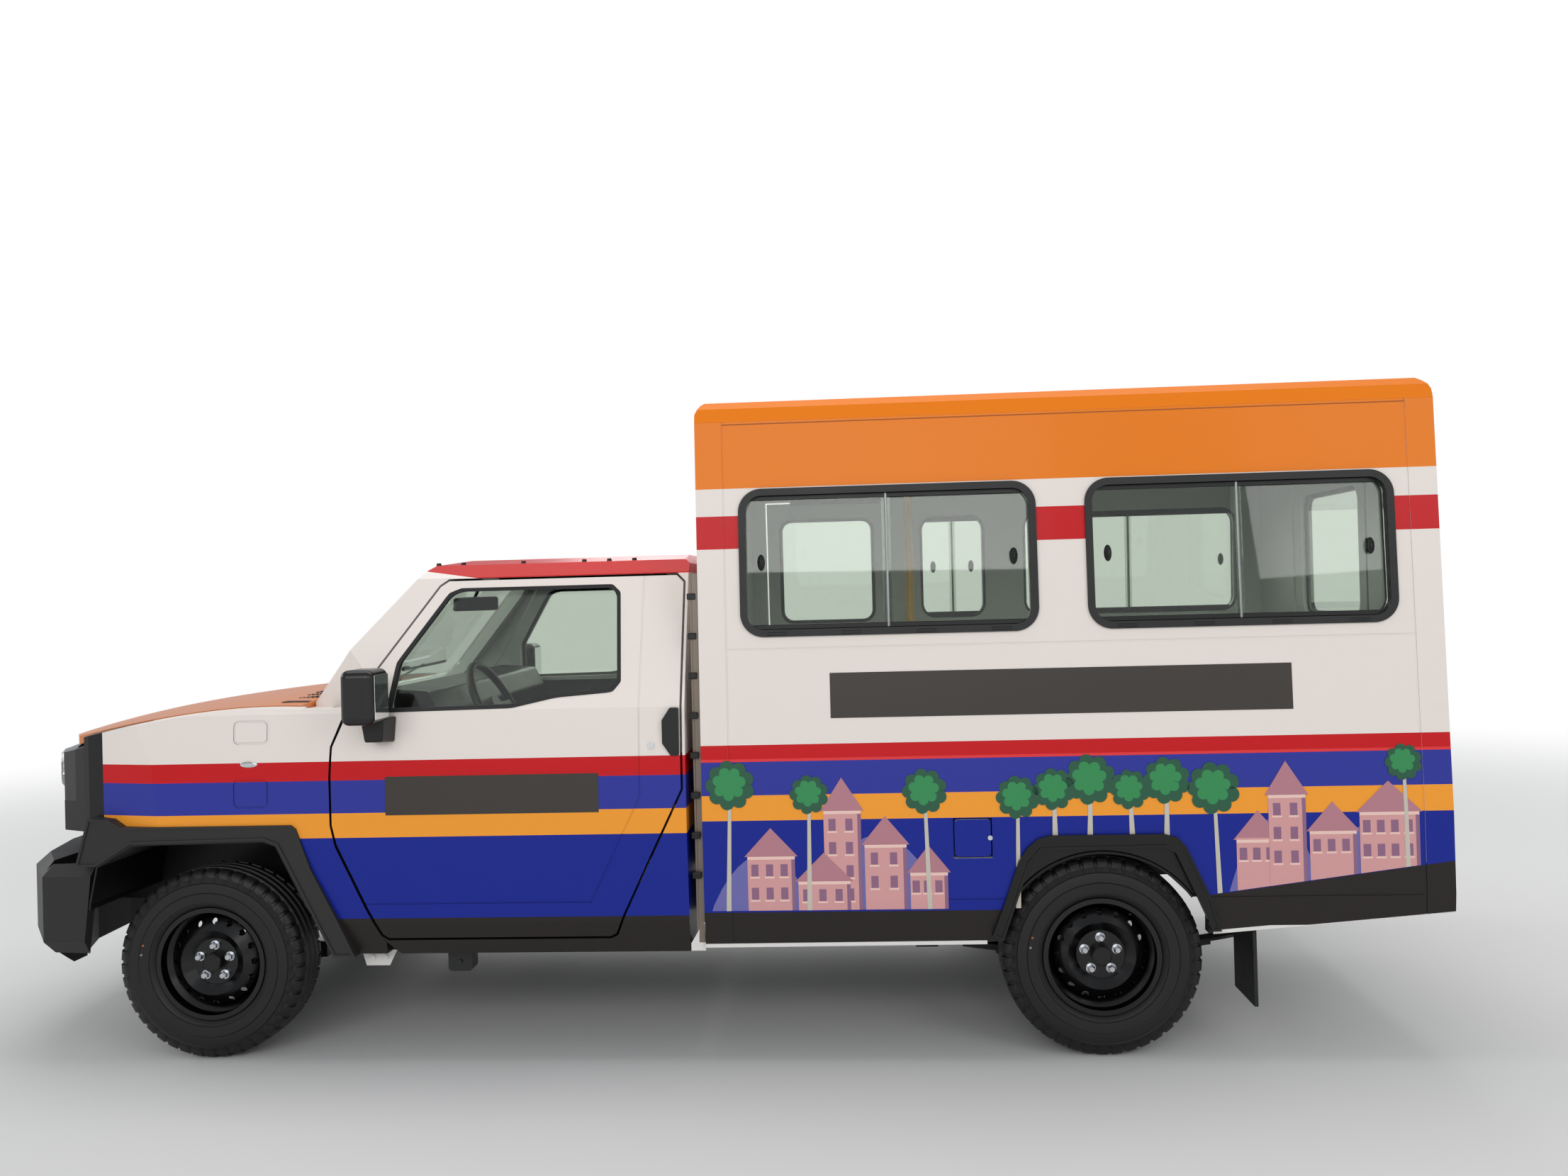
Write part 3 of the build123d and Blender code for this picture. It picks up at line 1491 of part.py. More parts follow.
def make_tie_rod():
    """Rod between the two steering arms, with an eye on each arm's stud."""
    end = kingpin_y
    bar = cross_rod(fx(tie_arm), tie_z, -end, end, tie_radius)
    for side in (-1, 1):
        bar += rod((fx(tie_arm), side * end, tie_z - 13), (fx(tie_arm), side * end, tie_z + 13), 17)
        bar -= rod((fx(tie_arm), side * end, tie_z - 40), (fx(tie_arm), side * end, tie_z + 40), 7 + seat_gap)
    return bar


def hub_face():
    """Plane of the wheel bolts' seat, out from the vehicle's centre line."""
    return wheel_y + disc_outset - 6


def make_rear_axle():
    tube = cross_rod(rear_axle_x, hub_z, -hub_face() + 90, hub_face() - 90, axle_tube_radius)
    housing = Pos(rear_axle_x, 20, hub_z) * Sphere(150)
    housing &= block(rear_axle_x - 165, rear_axle_x + 140, -120, 150, 0, 1000)
    nose = rod((rear_axle_x - 170, 0, hub_z + 12), (rear_axle_x - 60, 0, hub_z + 4), 52)
    axle = tube + housing + nose
    for side in (-1, 1):
        axle += cross_rod(rear_axle_x, hub_z, *sorted((side * (hub_face() - 95), side * (hub_face() - 8))), drum_radius)
        flange = sorted((side * (hub_face() - 10), side * (hub_face() - seat_gap)))
        axle += cross_rod(rear_axle_x, hub_z, *flange, 60)
        pad = side * spring_y
        axle += block(rear_axle_x - 60, rear_axle_x + 60, pad - 32, pad + 32, hub_z - spring_drop, hub_z - 20)
    return axle + make_prop_shaft()


def leaf_face(half_length, high):
    """Side outline of one bowed leaf whose ends sweep up."""
    rise = spring_rise * (half_length / spring_half) ** 2
    front = rear_axle_x - half_length
    rear = rear_axle_x + half_length
    low = high - leaf_thickness
    edges = ThreePointArc((front, 0, high + rise), (rear_axle_x, 0, high), (rear, 0, high + rise)).edges()
    edges += Line((rear, 0, high + rise), (rear, 0, low + rise)).edges()
    edges += ThreePointArc((rear, 0, low + rise), (rear_axle_x, 0, low), (front, 0, low + rise)).edges()
    edges += Line((front, 0, low + rise), (front, 0, high + rise)).edges()
    return Face(Wire(edges))


def make_leaf_springs():
    """Two packs of bowed leaves with eyes, clamps, front hangers and rear shackles."""
    springs = None
    top_z = hub_z - spring_drop - 0.9
    eye_z = top_z + spring_rise - leaf_thickness / 2
    rail_outer = rail_half + rail_width / 2 + seat_gap
    front_eye = rear_axle_x - spring_half
    rear_eye = rear_axle_x + spring_half
    shackle_top = rail_kick_low + 40
    for side in (-1, 1):
        y = side * spring_y
        pack = None
        for index, half_length in enumerate((spring_half, 440.0, 320.0, 210.0)):
            face = leaf_face(half_length, top_z - index * leaf_pitch)
            leaf = Pos(0, y - 30, 0) * extrude(face, amount=60, dir=(0, 1, 0))
            pack = leaf if pack is None else pack + leaf
        pack += block(rear_axle_x - 64, rear_axle_x + 64, y - 46, y + 46, top_z - 62, top_z - 5)
        for place in (-53, 53):
            for reach in (-39, 39):
                pack += rod((rear_axle_x + place, y + reach, top_z - 60),
                            (rear_axle_x + place, y + reach, hub_z + axle_tube_radius + 20), 6.5)
        pack += cross_rod(front_eye, eye_z, y - 30, y + 30, 22)
        pack += cross_rod(rear_eye, eye_z, y - 30, y + 30, 22)
        for x in (front_eye, rear_eye):
            pack += cross_rod(x, eye_z, y - 50, y + 50, 9)
        for cheek in (y - 44, y + 31):
            pack += block(front_eye - 40, front_eye + 40, cheek, cheek + 13, eye_z - 36, 440)
            pack += block(rear_eye - 18, rear_eye + 18, cheek, cheek + 13, eye_z - 22, shackle_top + 22)
        y0, y1 = sorted((side * rail_outer, side * (spring_y + 44)))
        pack += block(front_eye - 40, front_eye + 40, y0, y1, 410, 440)
        pack += cross_rod(rear_eye, shackle_top, *sorted((side * rail_outer, side * (spring_y + 50))), 12)
        springs = pack if springs is None else springs + pack
    return springs


def make_exhaust():
    """Down pipe, muffler with its strap, and a tail pipe that leaves on the right."""
    points = [(fx(-36), exhaust_y, 628), (fx(40), exhaust_y, 420), (fx(300), exhaust_y, exhaust_z),
              (fx(1500), exhaust_y, exhaust_z)]
    lead = Vector(*points[1]) - Vector(*points[0])
    pipe = sweep(Plane(origin=points[0], z_dir=lead) * Circle(exhaust_radius), path=FilletPolyline(*points, radius=90))
    muffler = rod((fx(1500), exhaust_y, exhaust_z), (fx(2000), exhaust_y, exhaust_z), 76)
    tail_points = [(fx(2000), exhaust_y, exhaust_z), (fx(2180), exhaust_y, exhaust_z), (fx(2340), 520, exhaust_z),
                   (fx(2340), 850, exhaust_z)]
    tail = sweep(Plane(origin=tail_points[0], z_dir=(1, 0, 0)) * Circle(exhaust_radius),
                 path=FilletPolyline(*tail_points, radius=90))
    strap = block(fx(1655), fx(1685), exhaust_y - 14, exhaust_y + 14, exhaust_z, 470 - seat_gap)
    return pipe + muffler + tail + strap


def make_fuel_tank():
    """Tank on two bearers under the floor, left of the frame, and the filler behind its flap."""
    tank = block(fx(1930), fx(2420), -800, -440, 400, 600)
    tank = fillet(tank.edges().filter_by(Axis.X), radius=40)
    for place in (2050, 2290):
        tank += block(fx(place), fx(place + 40), -750, -490, 598, box_floor_z - seat_gap)
    return tank + make_filler_cap()


def make_mud_flaps():
    flaps = None
    front = rear_axle_x + mud_flap_setback
    for side in (-1, 1):
        y0, y1 = sorted((side * 600, side * 815))
        flap = block(front, front + mud_flap_thickness, y0, y1, 158, box_floor_z - seat_gap)
        flaps = flap if flaps is None else flaps + flap
    return flaps


# Wheels

def make_tyre():
    """A tyre turned from its half section, on its own axis at the origin along Y."""
    half = tyre_width / 2
    tread = tread_width / 2
    bead = rim_width / 2 - rim_lip_depth
    profile = [
        (bead_radius, -bead),
        (rim_lip_radius + seat_gap, -bead),
        (rim_lip_radius + 8, -half + 11),
        (rim_lip_radius + 26, -half + 2),
        (tyre_radius - 70, -half),
        (tyre_radius - shoulder_drop - 16, -half + 8),
        (tyre_radius - 4, -tread),
        (tyre_radius, -tread + 26),
        (tyre_radius, tread - 26),
        (tyre_radius - 4, tread),
        (tyre_radius - shoulder_drop - 16, half - 8),
        (tyre_radius - 70, half),
        (rim_lip_radius + 26, half - 2),
        (rim_lip_radius + 8, half - 11),
        (rim_lip_radius + seat_gap, bead),
        (bead_radius, bead),
    ]
    face = Face(Wire.make_polygon([Vector(radius, y, 0) for radius, y in profile], close=True))
    return revolve(face, axis=Axis.Y)


def make_rim(side):
    """A pressed-steel rim: barrel, dished disc with vents, bolts and centre cap."""
    half = rim_width / 2
    gap = seat_gap
    seat = bead_radius - gap
    barrel = [
        (rim_lip_radius, -half),
        (rim_lip_radius, -half + rim_lip_depth - gap),
        (seat, -half + rim_lip_depth - gap),
        (seat, -half + 34),
        (seat - 22, -half + 52),
        (seat - 22, half - 52),
        (seat, half - 34),
        (seat, half - rim_lip_depth + gap),
        (rim_lip_radius, half - rim_lip_depth + gap),
        (rim_lip_radius, half),
        (seat - rim_wall, half),
        (seat - rim_wall, half - 38),
        (seat - 22 - rim_wall, half - 56),
        (seat - 22 - rim_wall, -half + 56),
        (seat - rim_wall, -half + 38),
        (seat - rim_wall, -half),
    ]
    barrel_face = Face(Wire.make_polygon([Vector(radius, y, 0) for radius, y in barrel], close=True))
    rim = revolve(barrel_face, axis=Axis.Y)
    seat_y = disc_outset
    disc = [
        (hub_bore_radius, seat_y - 6),
        (82.0, seat_y - 6),
        (112.0, seat_y + 20),
        (150.0, seat_y - 8),
        (seat - 22 - rim_wall + 1, seat_y - 40),
        (seat - 22 - rim_wall + 1, seat_y - 28),
        (153.0, seat_y + 2),
        (113.0, seat_y + 30),
        (80.0, seat_y + 4),
        (hub_bore_radius, seat_y + 4),
    ]
    disc_face = Face(Wire.make_polygon([Vector(radius, y, 0) for radius, y in disc], close=True))
    plate = revolve(disc_face, axis=Axis.Y)
    for index in range(vent_count):
        angle = radians(360 / vent_count * index)
        x = vent_circle * cos(angle)
        z = vent_circle * sin(angle)
        plate -= rod((x * 0.9, seat_y - 60, z * 0.9), (x * 1.08, seat_y + 60, z * 1.08), vent_radius)
    rim += plate
    for index in range(lug_count):
        angle = radians(360 / lug_count * index + 90)
        x = lug_pcd / 2 * cos(angle)
        z = lug_pcd / 2 * sin(angle)
        rim += rod((x, seat_y + 3, z), (x, seat_y + 4 + lug_height, z), lug_radius)
    cap = rod((0, seat_y + 4, 0), (0, seat_y + 34, 0), hub_cap_radius)
    cap += rod((0, seat_y + 2, 0), (0, seat_y + 8, 0), hub_bore_radius + 4)
    rim += cap
    if side < 0:
        rim = mirrored(rim)
    return rim


def seated(shape, x, side):
    return Pos(x, side * wheel_y, hub_z) * shape


def both_sides(shape):
    return shape + mirrored(shape)


def all_nodes():
    nodes = {}
    nodes["frame_ladder"] = make_frame_rails()
    nodes["frame_members"] = make_frame_members()
    nodes["tow_eyes"] = make_tow_eyes()
    nodes["sill_brackets"] = make_sill_brackets()
    nodes["engine_block"] = make_engine() + make_gearbox()
    nodes["front_suspension"] = make_front_suspension()
    nodes["tie_rod"] = make_tie_rod()
    nodes["rear_axle"] = make_rear_axle()
    nodes["leaf_springs"] = make_leaf_springs()
    nodes["exhaust"] = make_exhaust()
    nodes["fuel_tank"] = make_fuel_tank()
    nodes["cab_shell"] = make_cab_shell()
    nodes["cab_glass"] = make_windscreen() + make_cab_back_glass()
    nodes["dashboard"] = make_dashboard() + make_steering_column()
    nodes["cab_seats"] = make_cab_seats()
    nodes["steering_wheel"] = make_steering_wheel()
    nodes["front_fenders"] = both_sides(make_fender())
    nodes["arch_flares"] = both_sides(make_flare()) + make_rear_flares()
    nodes["wheel_liners"] = both_sides(make_wheel_liner())
    nodes["nose_panel"] = make_nose_panel()
    nodes["head_lamps"] = make_head_lamps()
    nodes["front_bumper"] = make_bumper()
    nodes["hood"] = make_hood()
    door = make_cab_door()
    door_glass = make_door_glass()
    trim = make_door_handle() + make_mirror()
    for name, flip in (("left", False), ("right", True)):
        nodes["cab_door_" + name] = mirrored(door) if flip else door
        nodes["door_glass_" + name] = mirrored(door_glass) if flip else door_glass
        nodes["mirror_and_handle_" + name] = mirrored(trim) if flip else trim
    for side in ("left", "right"):
        nodes["box_side_" + side] = make_box_side(side)
    nodes["window_rubbers"] = box_windows("left", window_ring) + box_windows("right", window_ring)
    nodes["window_panes"] = box_windows("left", window_panes) + box_windows("right", window_panes)
    nodes["box_front_wall"] = make_front_wall()
    nodes["box_rear_wall"] = make_rear_wall()
    nodes["box_roof"] = make_box_roof()
    nodes["box_floor"] = make_box_floor()
    nodes["mud_flaps"] = make_mud_flaps()
    nodes["fuel_flap"] = make_fuel_flap()
    nodes["passenger_door"] = make_passenger_door()
    nodes["passenger_glass"] = make_passenger_glass()
    nodes["rear_door"] = make_rear_door()
    nodes["rear_door_glass"] = make_rear_door_glass()
    nodes["tail_lamps"] = make_tail_lamps()
    nodes["rubber_seals"] = make_seals()
    nodes["bench_frames"] = make_bench_frames()
    nodes["bench_cushions"] = make_bench_cushions()
    nodes["grab_rails"] = make_grab_rails() + make_stanchion()
    knuckle = make_knuckle()
    nodes["knuckle_left"] = knuckle
    nodes["knuckle_right"] = mirrored(knuckle)
    for end, x in (("front", front_axle_x), ("rear", rear_axle_x)):
        for name, side in (("left", -1), ("right", 1)):
            nodes["tyre_" + end + "_" + name] = seated(make_tyre(), x, side)
            nodes["rim_" + end + "_" + name] = seated(make_rim(side), x, side)
    return nodes


os.makedirs("parts", exist_ok=True)
for node, shape in all_nodes().items():
    export_step(shape, "parts/" + node + ".step")
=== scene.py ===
from math import atan2, cos, exp, pi, radians, sin
import bmesh
import bpy
from mathutils import Matrix, Vector


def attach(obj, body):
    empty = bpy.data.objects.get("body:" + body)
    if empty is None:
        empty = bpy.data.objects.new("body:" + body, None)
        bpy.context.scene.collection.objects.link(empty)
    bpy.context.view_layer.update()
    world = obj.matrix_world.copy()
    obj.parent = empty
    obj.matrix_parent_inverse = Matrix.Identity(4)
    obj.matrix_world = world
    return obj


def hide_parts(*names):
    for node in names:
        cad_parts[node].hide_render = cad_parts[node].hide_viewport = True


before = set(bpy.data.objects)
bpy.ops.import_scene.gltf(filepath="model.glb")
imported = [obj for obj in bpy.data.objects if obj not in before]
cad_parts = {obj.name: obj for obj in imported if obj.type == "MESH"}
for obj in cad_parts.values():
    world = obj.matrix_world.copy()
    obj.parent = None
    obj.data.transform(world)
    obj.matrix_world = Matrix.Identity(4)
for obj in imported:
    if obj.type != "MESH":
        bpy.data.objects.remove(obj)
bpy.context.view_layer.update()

# Camera
# The photograph looks square on to the left side from about four metres off, from a little
# above the window sills, through a wide lens. Place and turn were worked out from the wheels.
image_width_px = 2212
focal_length_px = 1700
lens = bpy.data.cameras.new("camera")
lens.sensor_width = 36.0
lens.lens = lens.sensor_width * focal_length_px / image_width_px
camera = bpy.data.objects.new("camera", lens)
camera_right = Vector((0.99768, 0.06257, -0.02678))
camera_up = Vector((0.02702, -0.00298, 0.99963))
camera_back = camera_right.cross(camera_up)
camera_turn = Matrix((camera_right, camera_up, camera_back)).transposed().to_4x4()
camera.matrix_world = Matrix.Translation((0.6140, -4.9296, 1.5776)) @ camera_turn
bpy.context.scene.collection.objects.link(camera)
bpy.context.scene.camera = camera
bpy.context.scene.view_settings.view_transform = "Standard"


# Studio floor, backdrop and lamps
# A smooth pale floor that keeps the shadow and fades into a white room, under broad soft
# lamps over the near side, the far side and the roof.
def linear(code):
    """An sRGB hex colour as the linear RGBA that a shader takes."""
    parts = [int(code[i:i + 2], 16) / 255 for i in (1, 3, 5)]
    return [p / 12.92 if p <= 0.04045 else ((p + 0.055) / 1.055) ** 2.4 for p in parts] + [1.0]


def add(tree, kind, settings=None, links=None):
    """One node in a tree, with its settings by name and its inputs linked to other outputs."""
    made = tree.nodes.new(kind)
    for name, value in (settings or {}).items():
        if isinstance(name, int) or name in made.inputs:
            made.inputs[name].default_value = value
        else:
            setattr(made, name, value)
    for name, source in (links or {}).items():
        tree.links.new(source, made.inputs[name])
    return made


def sums(tree, operation, *values):
    """The result of a Math node on numbers and on the outputs of other nodes."""
    numbers = {place: value for place, value in enumerate(values) if isinstance(value, (int, float))}
    sockets = {place: value for place, value in enumerate(values) if place not in numbers}
    return add(tree, "ShaderNodeMath", {"operation": operation, **numbers}, sockets).outputs[0]


def object_place(tree):
    """A node whose outputs are X, Y and Z in the shared frame at rest."""
    return add(tree, "ShaderNodeSeparateXYZ", {}, {0: add(tree, "ShaderNodeTexCoord").outputs["Object"]})


def show(shape, name, material, smooth=True):
    """A finished mesh as an object at the origin, its place in its vertices."""
    mesh = bpy.data.meshes.new(name)
    shape.to_mesh(mesh)
    shape.free()
    mesh.materials.append(material)
    made = bpy.data.objects.new(name, mesh)
    bpy.context.scene.collection.objects.link(made)
    if smooth:
        mesh.shade_smooth()
        mesh.set_sharp_from_angle(angle=radians(32))
    return made


# The floor is itself up to fade_start metres from the middle and white from fade_end
fade_start = 4.0
fade_end = 11.0
floor_radius = 40.0
floor_paint = bpy.data.materials.new("matt_floor_paint")
floor_paint.use_nodes = True
tree = floor_paint.node_tree
shader = tree.nodes["Principled BSDF"]
shader.inputs["Base Color"].default_value = linear("#D9D9D7")
shader.inputs["Roughness"].default_value = 0.8
coordinates = add(tree, "ShaderNodeTexCoord")
away = add(tree, "ShaderNodeVectorMath", {"operation": "LENGTH"}, {"Vector": coordinates.outputs["Object"]})
faded = add(tree, "ShaderNodeMapRange",
            {"interpolation_type": "SMOOTHSTEP", "From Min": fade_start, "From Max": fade_end},
            {"Value": away.outputs["Value"]})
ray = add(tree, "ShaderNodeLightPath")
seen = sums(tree, "MAXIMUM", ray.outputs["Is Camera Ray"], ray.outputs["Is Glossy Ray"])
seen = sums(tree, "MAXIMUM", seen, ray.outputs["Is Transmission Ray"])
share = sums(tree, "MULTIPLY", faded.outputs[0], seen)
white = add(tree, "ShaderNodeEmission", {"Color": (1, 1, 1, 1), "Strength": 1.0})
mixed = add(tree, "ShaderNodeMixShader", {},
            {0: share, 1: shader.outputs[0], 2: white.outputs[0]})
tree.links.new(mixed.outputs[0], tree.nodes["Material Output"].inputs["Surface"])
shape = bmesh.new()
bmesh.ops.create_circle(shape, cap_ends=True, segments=96, radius=floor_radius)
floor = show(shape, "studio_floor", floor_paint)

world = bpy.data.worlds.new("white_room")
bpy.context.scene.world = world
world.use_nodes = True
tree = world.node_tree
ray = add(tree, "ShaderNodeLightPath")
seen = sums(tree, "MAXIMUM", ray.outputs["Is Camera Ray"], ray.outputs["Is Transmission Ray"])
fill = tree.nodes["Background"]
fill.inputs["Color"].default_value = linear("#EEF1F6")
fill.inputs["Strength"].default_value = 0.52
white = add(tree, "ShaderNodeBackground", {"Color": (1, 1, 1, 1), "Strength": 1.0})
mixed = add(tree, "ShaderNodeMixShader", {}, {0: seen, 1: fill.outputs[0], 2: white.outputs[0]})
tree.links.new(mixed.outputs[0], tree.nodes["World Output"].inputs["Surface"])

# name, place, aim, width, height, watts
softboxes = (
    ("lamp_near", (-1.0, -7.8, 3.7), (0.0, 0.0, 1.2), 7.0, 2.6, 172),
    ("lamp_near_rear", (5.0, -6.0, 3.6), (0.8, 0.0, 1.2), 3.0, 3.0, 62),
    ("lamp_far", (0.5, 7.5, 4.6), (0.0, 0.0, 1.0), 6.0, 2.6, 190),
    ("lamp_top", (0.0, 0.0, 6.5), (0.0, 0.0, 0.0), 7.0, 3.0, 155),
    ("lamp_front", (-8.0, 0.5, 3.6), (0.0, 0.0, 1.0), 4.0, 2.4, 110),
    ("lamp_rear", (8.0, 0.5, 3.6), (0.0, 0.0, 1.0), 4.0, 2.4, 110),
)
for name, place, aim, width, height, watts in softboxes:
    light = bpy.data.lights.new(name, "AREA")
    light.shape = "RECTANGLE"
    light.size = width
    light.size_y = height
    light.energy = watts
    lamp = bpy.data.objects.new(name, light)
    turn = (Vector(aim) - Vector(place)).to_track_quat("-Z", "Y").to_matrix().to_4x4()
    lamp.matrix_world = Matrix.Translation(place) @ turn
    bpy.context.scene.collection.objects.link(lamp)


# Finishes that many pieces share
# Moulded plastic, rubber, enamel and steel all carry a fine relief and a gloss that wanders,
# so each starts from one recipe: its colour, its roughness and the size of its grain.
def surface(name, colour, roughness, grain_mm, depth_mm, spread=0.12, **sockets):
    """A material whose relief is grain_mm across and depth_mm deep, with a wandering gloss."""
    made = bpy.data.materials.new(name)
    made.use_nodes = True
    tree = made.node_tree
    shader = tree.nodes["Principled BSDF"]
    shader.inputs["Base Color"].default_value = linear(colour)
    for socket, value in sockets.items():
        shader.inputs[socket.replace("_", " ")].default_value = value
    coordinates = add(tree, "ShaderNodeTexCoord").outputs["Object"]
    grain = add(tree, "ShaderNodeTexNoise", {"Scale": 1000 / grain_mm, "Detail": 2.0},
                {"Vector": coordinates})
    relief = add(tree, "ShaderNodeBump", {"Distance": depth_mm / 1000}, {"Height": grain.outputs["Fac"]})
    cloud = add(tree, "ShaderNodeTexNoise", {"Scale": 4.0, "Detail": 4.0}, {"Vector": coordinates})
    gloss = add(tree, "ShaderNodeMapRange", {"To Min": roughness - spread, "To Max": roughness + spread},
                {"Value": cloud.outputs["Fac"]})
    tree.links.new(relief.outputs["Normal"], shader.inputs["Normal"])
    tree.links.new(gloss.outputs[0], shader.inputs["Roughness"])
    return made


def two_tone(made, mask, colour, over):
    """A flat colour, and another where a mask is one."""
    tree = made.node_tree
    tint = add(tree, "ShaderNodeMix", {"data_type": "RGBA", 6: linear(colour), 7: linear(over)},
               {"Factor": mask})
    tree.links.new(tint.outputs[2], tree.nodes["Principled BSDF"].inputs["Base Color"])


def emboss(made, height, strength):
    """Relief from a height, 0.6 mm for a height of one."""
    tree = made.node_tree
    relief = add(tree, "ShaderNodeBump", {"Distance": 0.0006, "Strength": strength}, {"Height": height})
    tree.links.new(relief.outputs["Normal"], tree.nodes["Principled BSDF"].inputs["Normal"])


def dress(material, *names):
    """CAD pieces take one finish."""
    for name in names:
        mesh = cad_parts[name].data
        mesh.materials.clear()
        mesh.materials.append(material)


# Body paint
# The box is sandwich panel with a printed vinyl wrap, the cab is stamped steel in enamel with
# the same stripes. Both have flat bands of colour, a light orange peel and a clear top coat.
orange = "#EE7F10"
warm_white = "#EDE4DD"
wrap_red = "#C9141B"
edge_red = "#E23A3C"
violet_blue = "#2F379A"
wrap_yellow = "#F7A033"
deep_blue = "#0F2490"
sill_black = "#262120"
trim_grey = "#3A3B3C"
box_bands = (
    (0.0, sill_black), (0.502, deep_blue), (0.809, wrap_yellow), (0.893, violet_blue),
    (1.004, edge_red), (1.020, wrap_red), (1.062, warm_white), (1.731, wrap_red),
    (1.843, warm_white), (1.932, orange),
)
cab_bands = (
    (0.0, sill_black), (0.489, deep_blue), (0.773, wrap_yellow), (0.856, violet_blue),
    (0.974, wrap_red), (1.036, warm_white),
)
ramp_height = 2.4
# faces whose normal's Z is less than this look down
down_tilt = -0.6


def banded(tree, bands, height):
    """Flat colours that change at given heights from the ground."""
    scaled = sums(tree, "DIVIDE", height, ramp_height)
    ramp = add(tree, "ShaderNodeValToRGB", {}, {0: scaled})
    ramp.color_ramp.interpolation = "CONSTANT"
    stops = ramp.color_ramp.elements
    stops.remove(stops[1])
    for number, (start, colour) in enumerate(bands):
        stop = stops[0] if number == 0 else stops.new(start / ramp_height)
        stop.color = linear(colour)
    return ramp.outputs["Color"]


def body_paint(name, bands, lining, middle):
    """Striped paint outside, a plain lining on faces that look inwards or down."""
    made = surface(name, warm_white, 0.36, 5.0, 0.015, 0.05, Specular_IOR_Level=0.22, Coat_Weight=0.06,
                   Coat_Roughness=0.08)
    tree = made.node_tree
    coordinates = add(tree, "ShaderNodeTexCoord")
    normal = coordinates.outputs["Normal"]
    coordinates = coordinates.outputs["Object"]
    parts = add(tree, "ShaderNodeSeparateXYZ", {}, {0: coordinates})
    outward = add(tree, "ShaderNodeVectorMath", {"operation": "SUBTRACT", 1: middle}, {0: coordinates})
    facing = add(tree, "ShaderNodeVectorMath", {"operation": "DOT_PRODUCT"},
                 {0: outward.outputs[0], 1: normal})
    inner = sums(tree, "LESS_THAN", facing.outputs["Value"], 0.0)
    tilt = add(tree, "ShaderNodeSeparateXYZ", {}, {0: normal})
    under = sums(tree, "LESS_THAN", tilt.outputs["Z"], down_tilt)
    hidden = sums(tree, "MAXIMUM", inner, under)
    stripes = banded(tree, bands, parts.outputs["Z"])
    plain = banded(tree, lining, parts.outputs["Z"])
    colour = add(tree, "ShaderNodeMix", {"data_type": "RGBA"},
                 {"Factor": hidden, 6: stripes, 7: plain})
    tree.links.new(colour.outputs[2], tree.nodes["Principled BSDF"].inputs["Base Color"])
    return made, parts, colour


def overpaint(made, colour, mask, over):
    """A further flat colour where a mask is one."""
    tree = made.node_tree
    mixed = add(tree, "ShaderNodeMix", {"data_type": "RGBA", 7: linear(over)},
                {"Factor": mask, 6: colour.outputs[2]})
    tree.links.new(mixed.outputs[2], tree.nodes["Principled BSDF"].inputs["Base Color"])
    return mixed


# The sill wedge of the box climbs to the rear corner behind the wheel
wedge_start = 1.730
wedge_low = 0.548
wedge_slope = 0.131
rear_wall_x = 2.5225
box_lining = ((0.0, "#2E2E2E"), (0.64, "#D6D7D3"))
box_paint, parts, colour = body_paint("vinyl_wrapped_panel", box_bands, box_lining, (1.29, 0.0, 1.35))
tree = box_paint.node_tree
climb = sums(tree, "MULTIPLY_ADD", parts.outputs["X"], -wedge_slope, wedge_slope * wedge_start - wedge_low)
below = sums(tree, "ADD", climb, parts.outputs["Z"])
below = sums(tree, "LESS_THAN", below, 0.0)
behind = sums(tree, "GREATER_THAN", parts.outputs["X"], wedge_start)
wedge = sums(tree, "MULTIPLY", below, behind)
colour = overpaint(box_paint, colour, wedge, sill_black)
# The handle of the rear door is the only thing proud of the rear wall, and it is black plastic
proud = sums(tree, "GREATER_THAN", parts.outputs["X"], rear_wall_x + 0.001)
overpaint(box_paint, colour, proud, trim_grey)
dress(box_paint, "box_side_left", "box_side_right", "box_front_wall", "box_rear_wall", "box_roof",
      "passenger_door", "rear_door", "fuel_flap")

# The cab roof is red from its drip line up, and the line rises towards the screen
roof_red = "#C5100F"
drip_z = 1.662
drip_rise = 0.15
drip_start = -0.75
fender_corner_x = -2.09
fender_corner_z = 0.800
bulkhead_half = 0.840
bulkhead_top = 1.190
bulkhead_x = -1.150
trim_black = "#1D1D1E"
cab_lining = ((0.0, trim_black), (1.19, "#D5D6D6"))
cab_paint, parts, colour = body_paint("enamelled_steel", cab_bands, cab_lining, (-0.65, 0.0, 1.05))
tree = cab_paint.node_tree
rise = sums(tree, "MULTIPLY_ADD", parts.outputs["X"], -drip_rise, drip_rise * drip_start)
rise = sums(tree, "MAXIMUM", rise, 0.0)
rise = sums(tree, "ADD", rise, drip_z)
above = sums(tree, "GREATER_THAN", parts.outputs["Z"], rise)
colour = overpaint(cab_paint, colour, above, roof_red)
# The corner of the fender ahead of the wheel is dark plastic where the flare wraps round it
ahead = sums(tree, "LESS_THAN", parts.outputs["X"], fender_corner_x)
low = sums(tree, "LESS_THAN", parts.outputs["Z"], fender_corner_z)
corner = sums(tree, "MULTIPLY", ahead, low)
colour = overpaint(cab_paint, colour, corner, trim_grey)
# The bulkhead under the hood has no stripes, only the black of its primer
across = sums(tree, "ABSOLUTE", parts.outputs["Y"])
between = sums(tree, "LESS_THAN", across, bulkhead_half)
under = sums(tree, "LESS_THAN", parts.outputs["Z"], bulkhead_top)
fore = sums(tree, "LESS_THAN", parts.outputs["X"], bulkhead_x)
inside = sums(tree, "MULTIPLY", between, under)
inside = sums(tree, "MULTIPLY", inside, fore)
overpaint(cab_paint, colour, inside, trim_black)
dress(cab_paint, "cab_shell", "cab_door_left", "cab_door_right", "front_fenders")

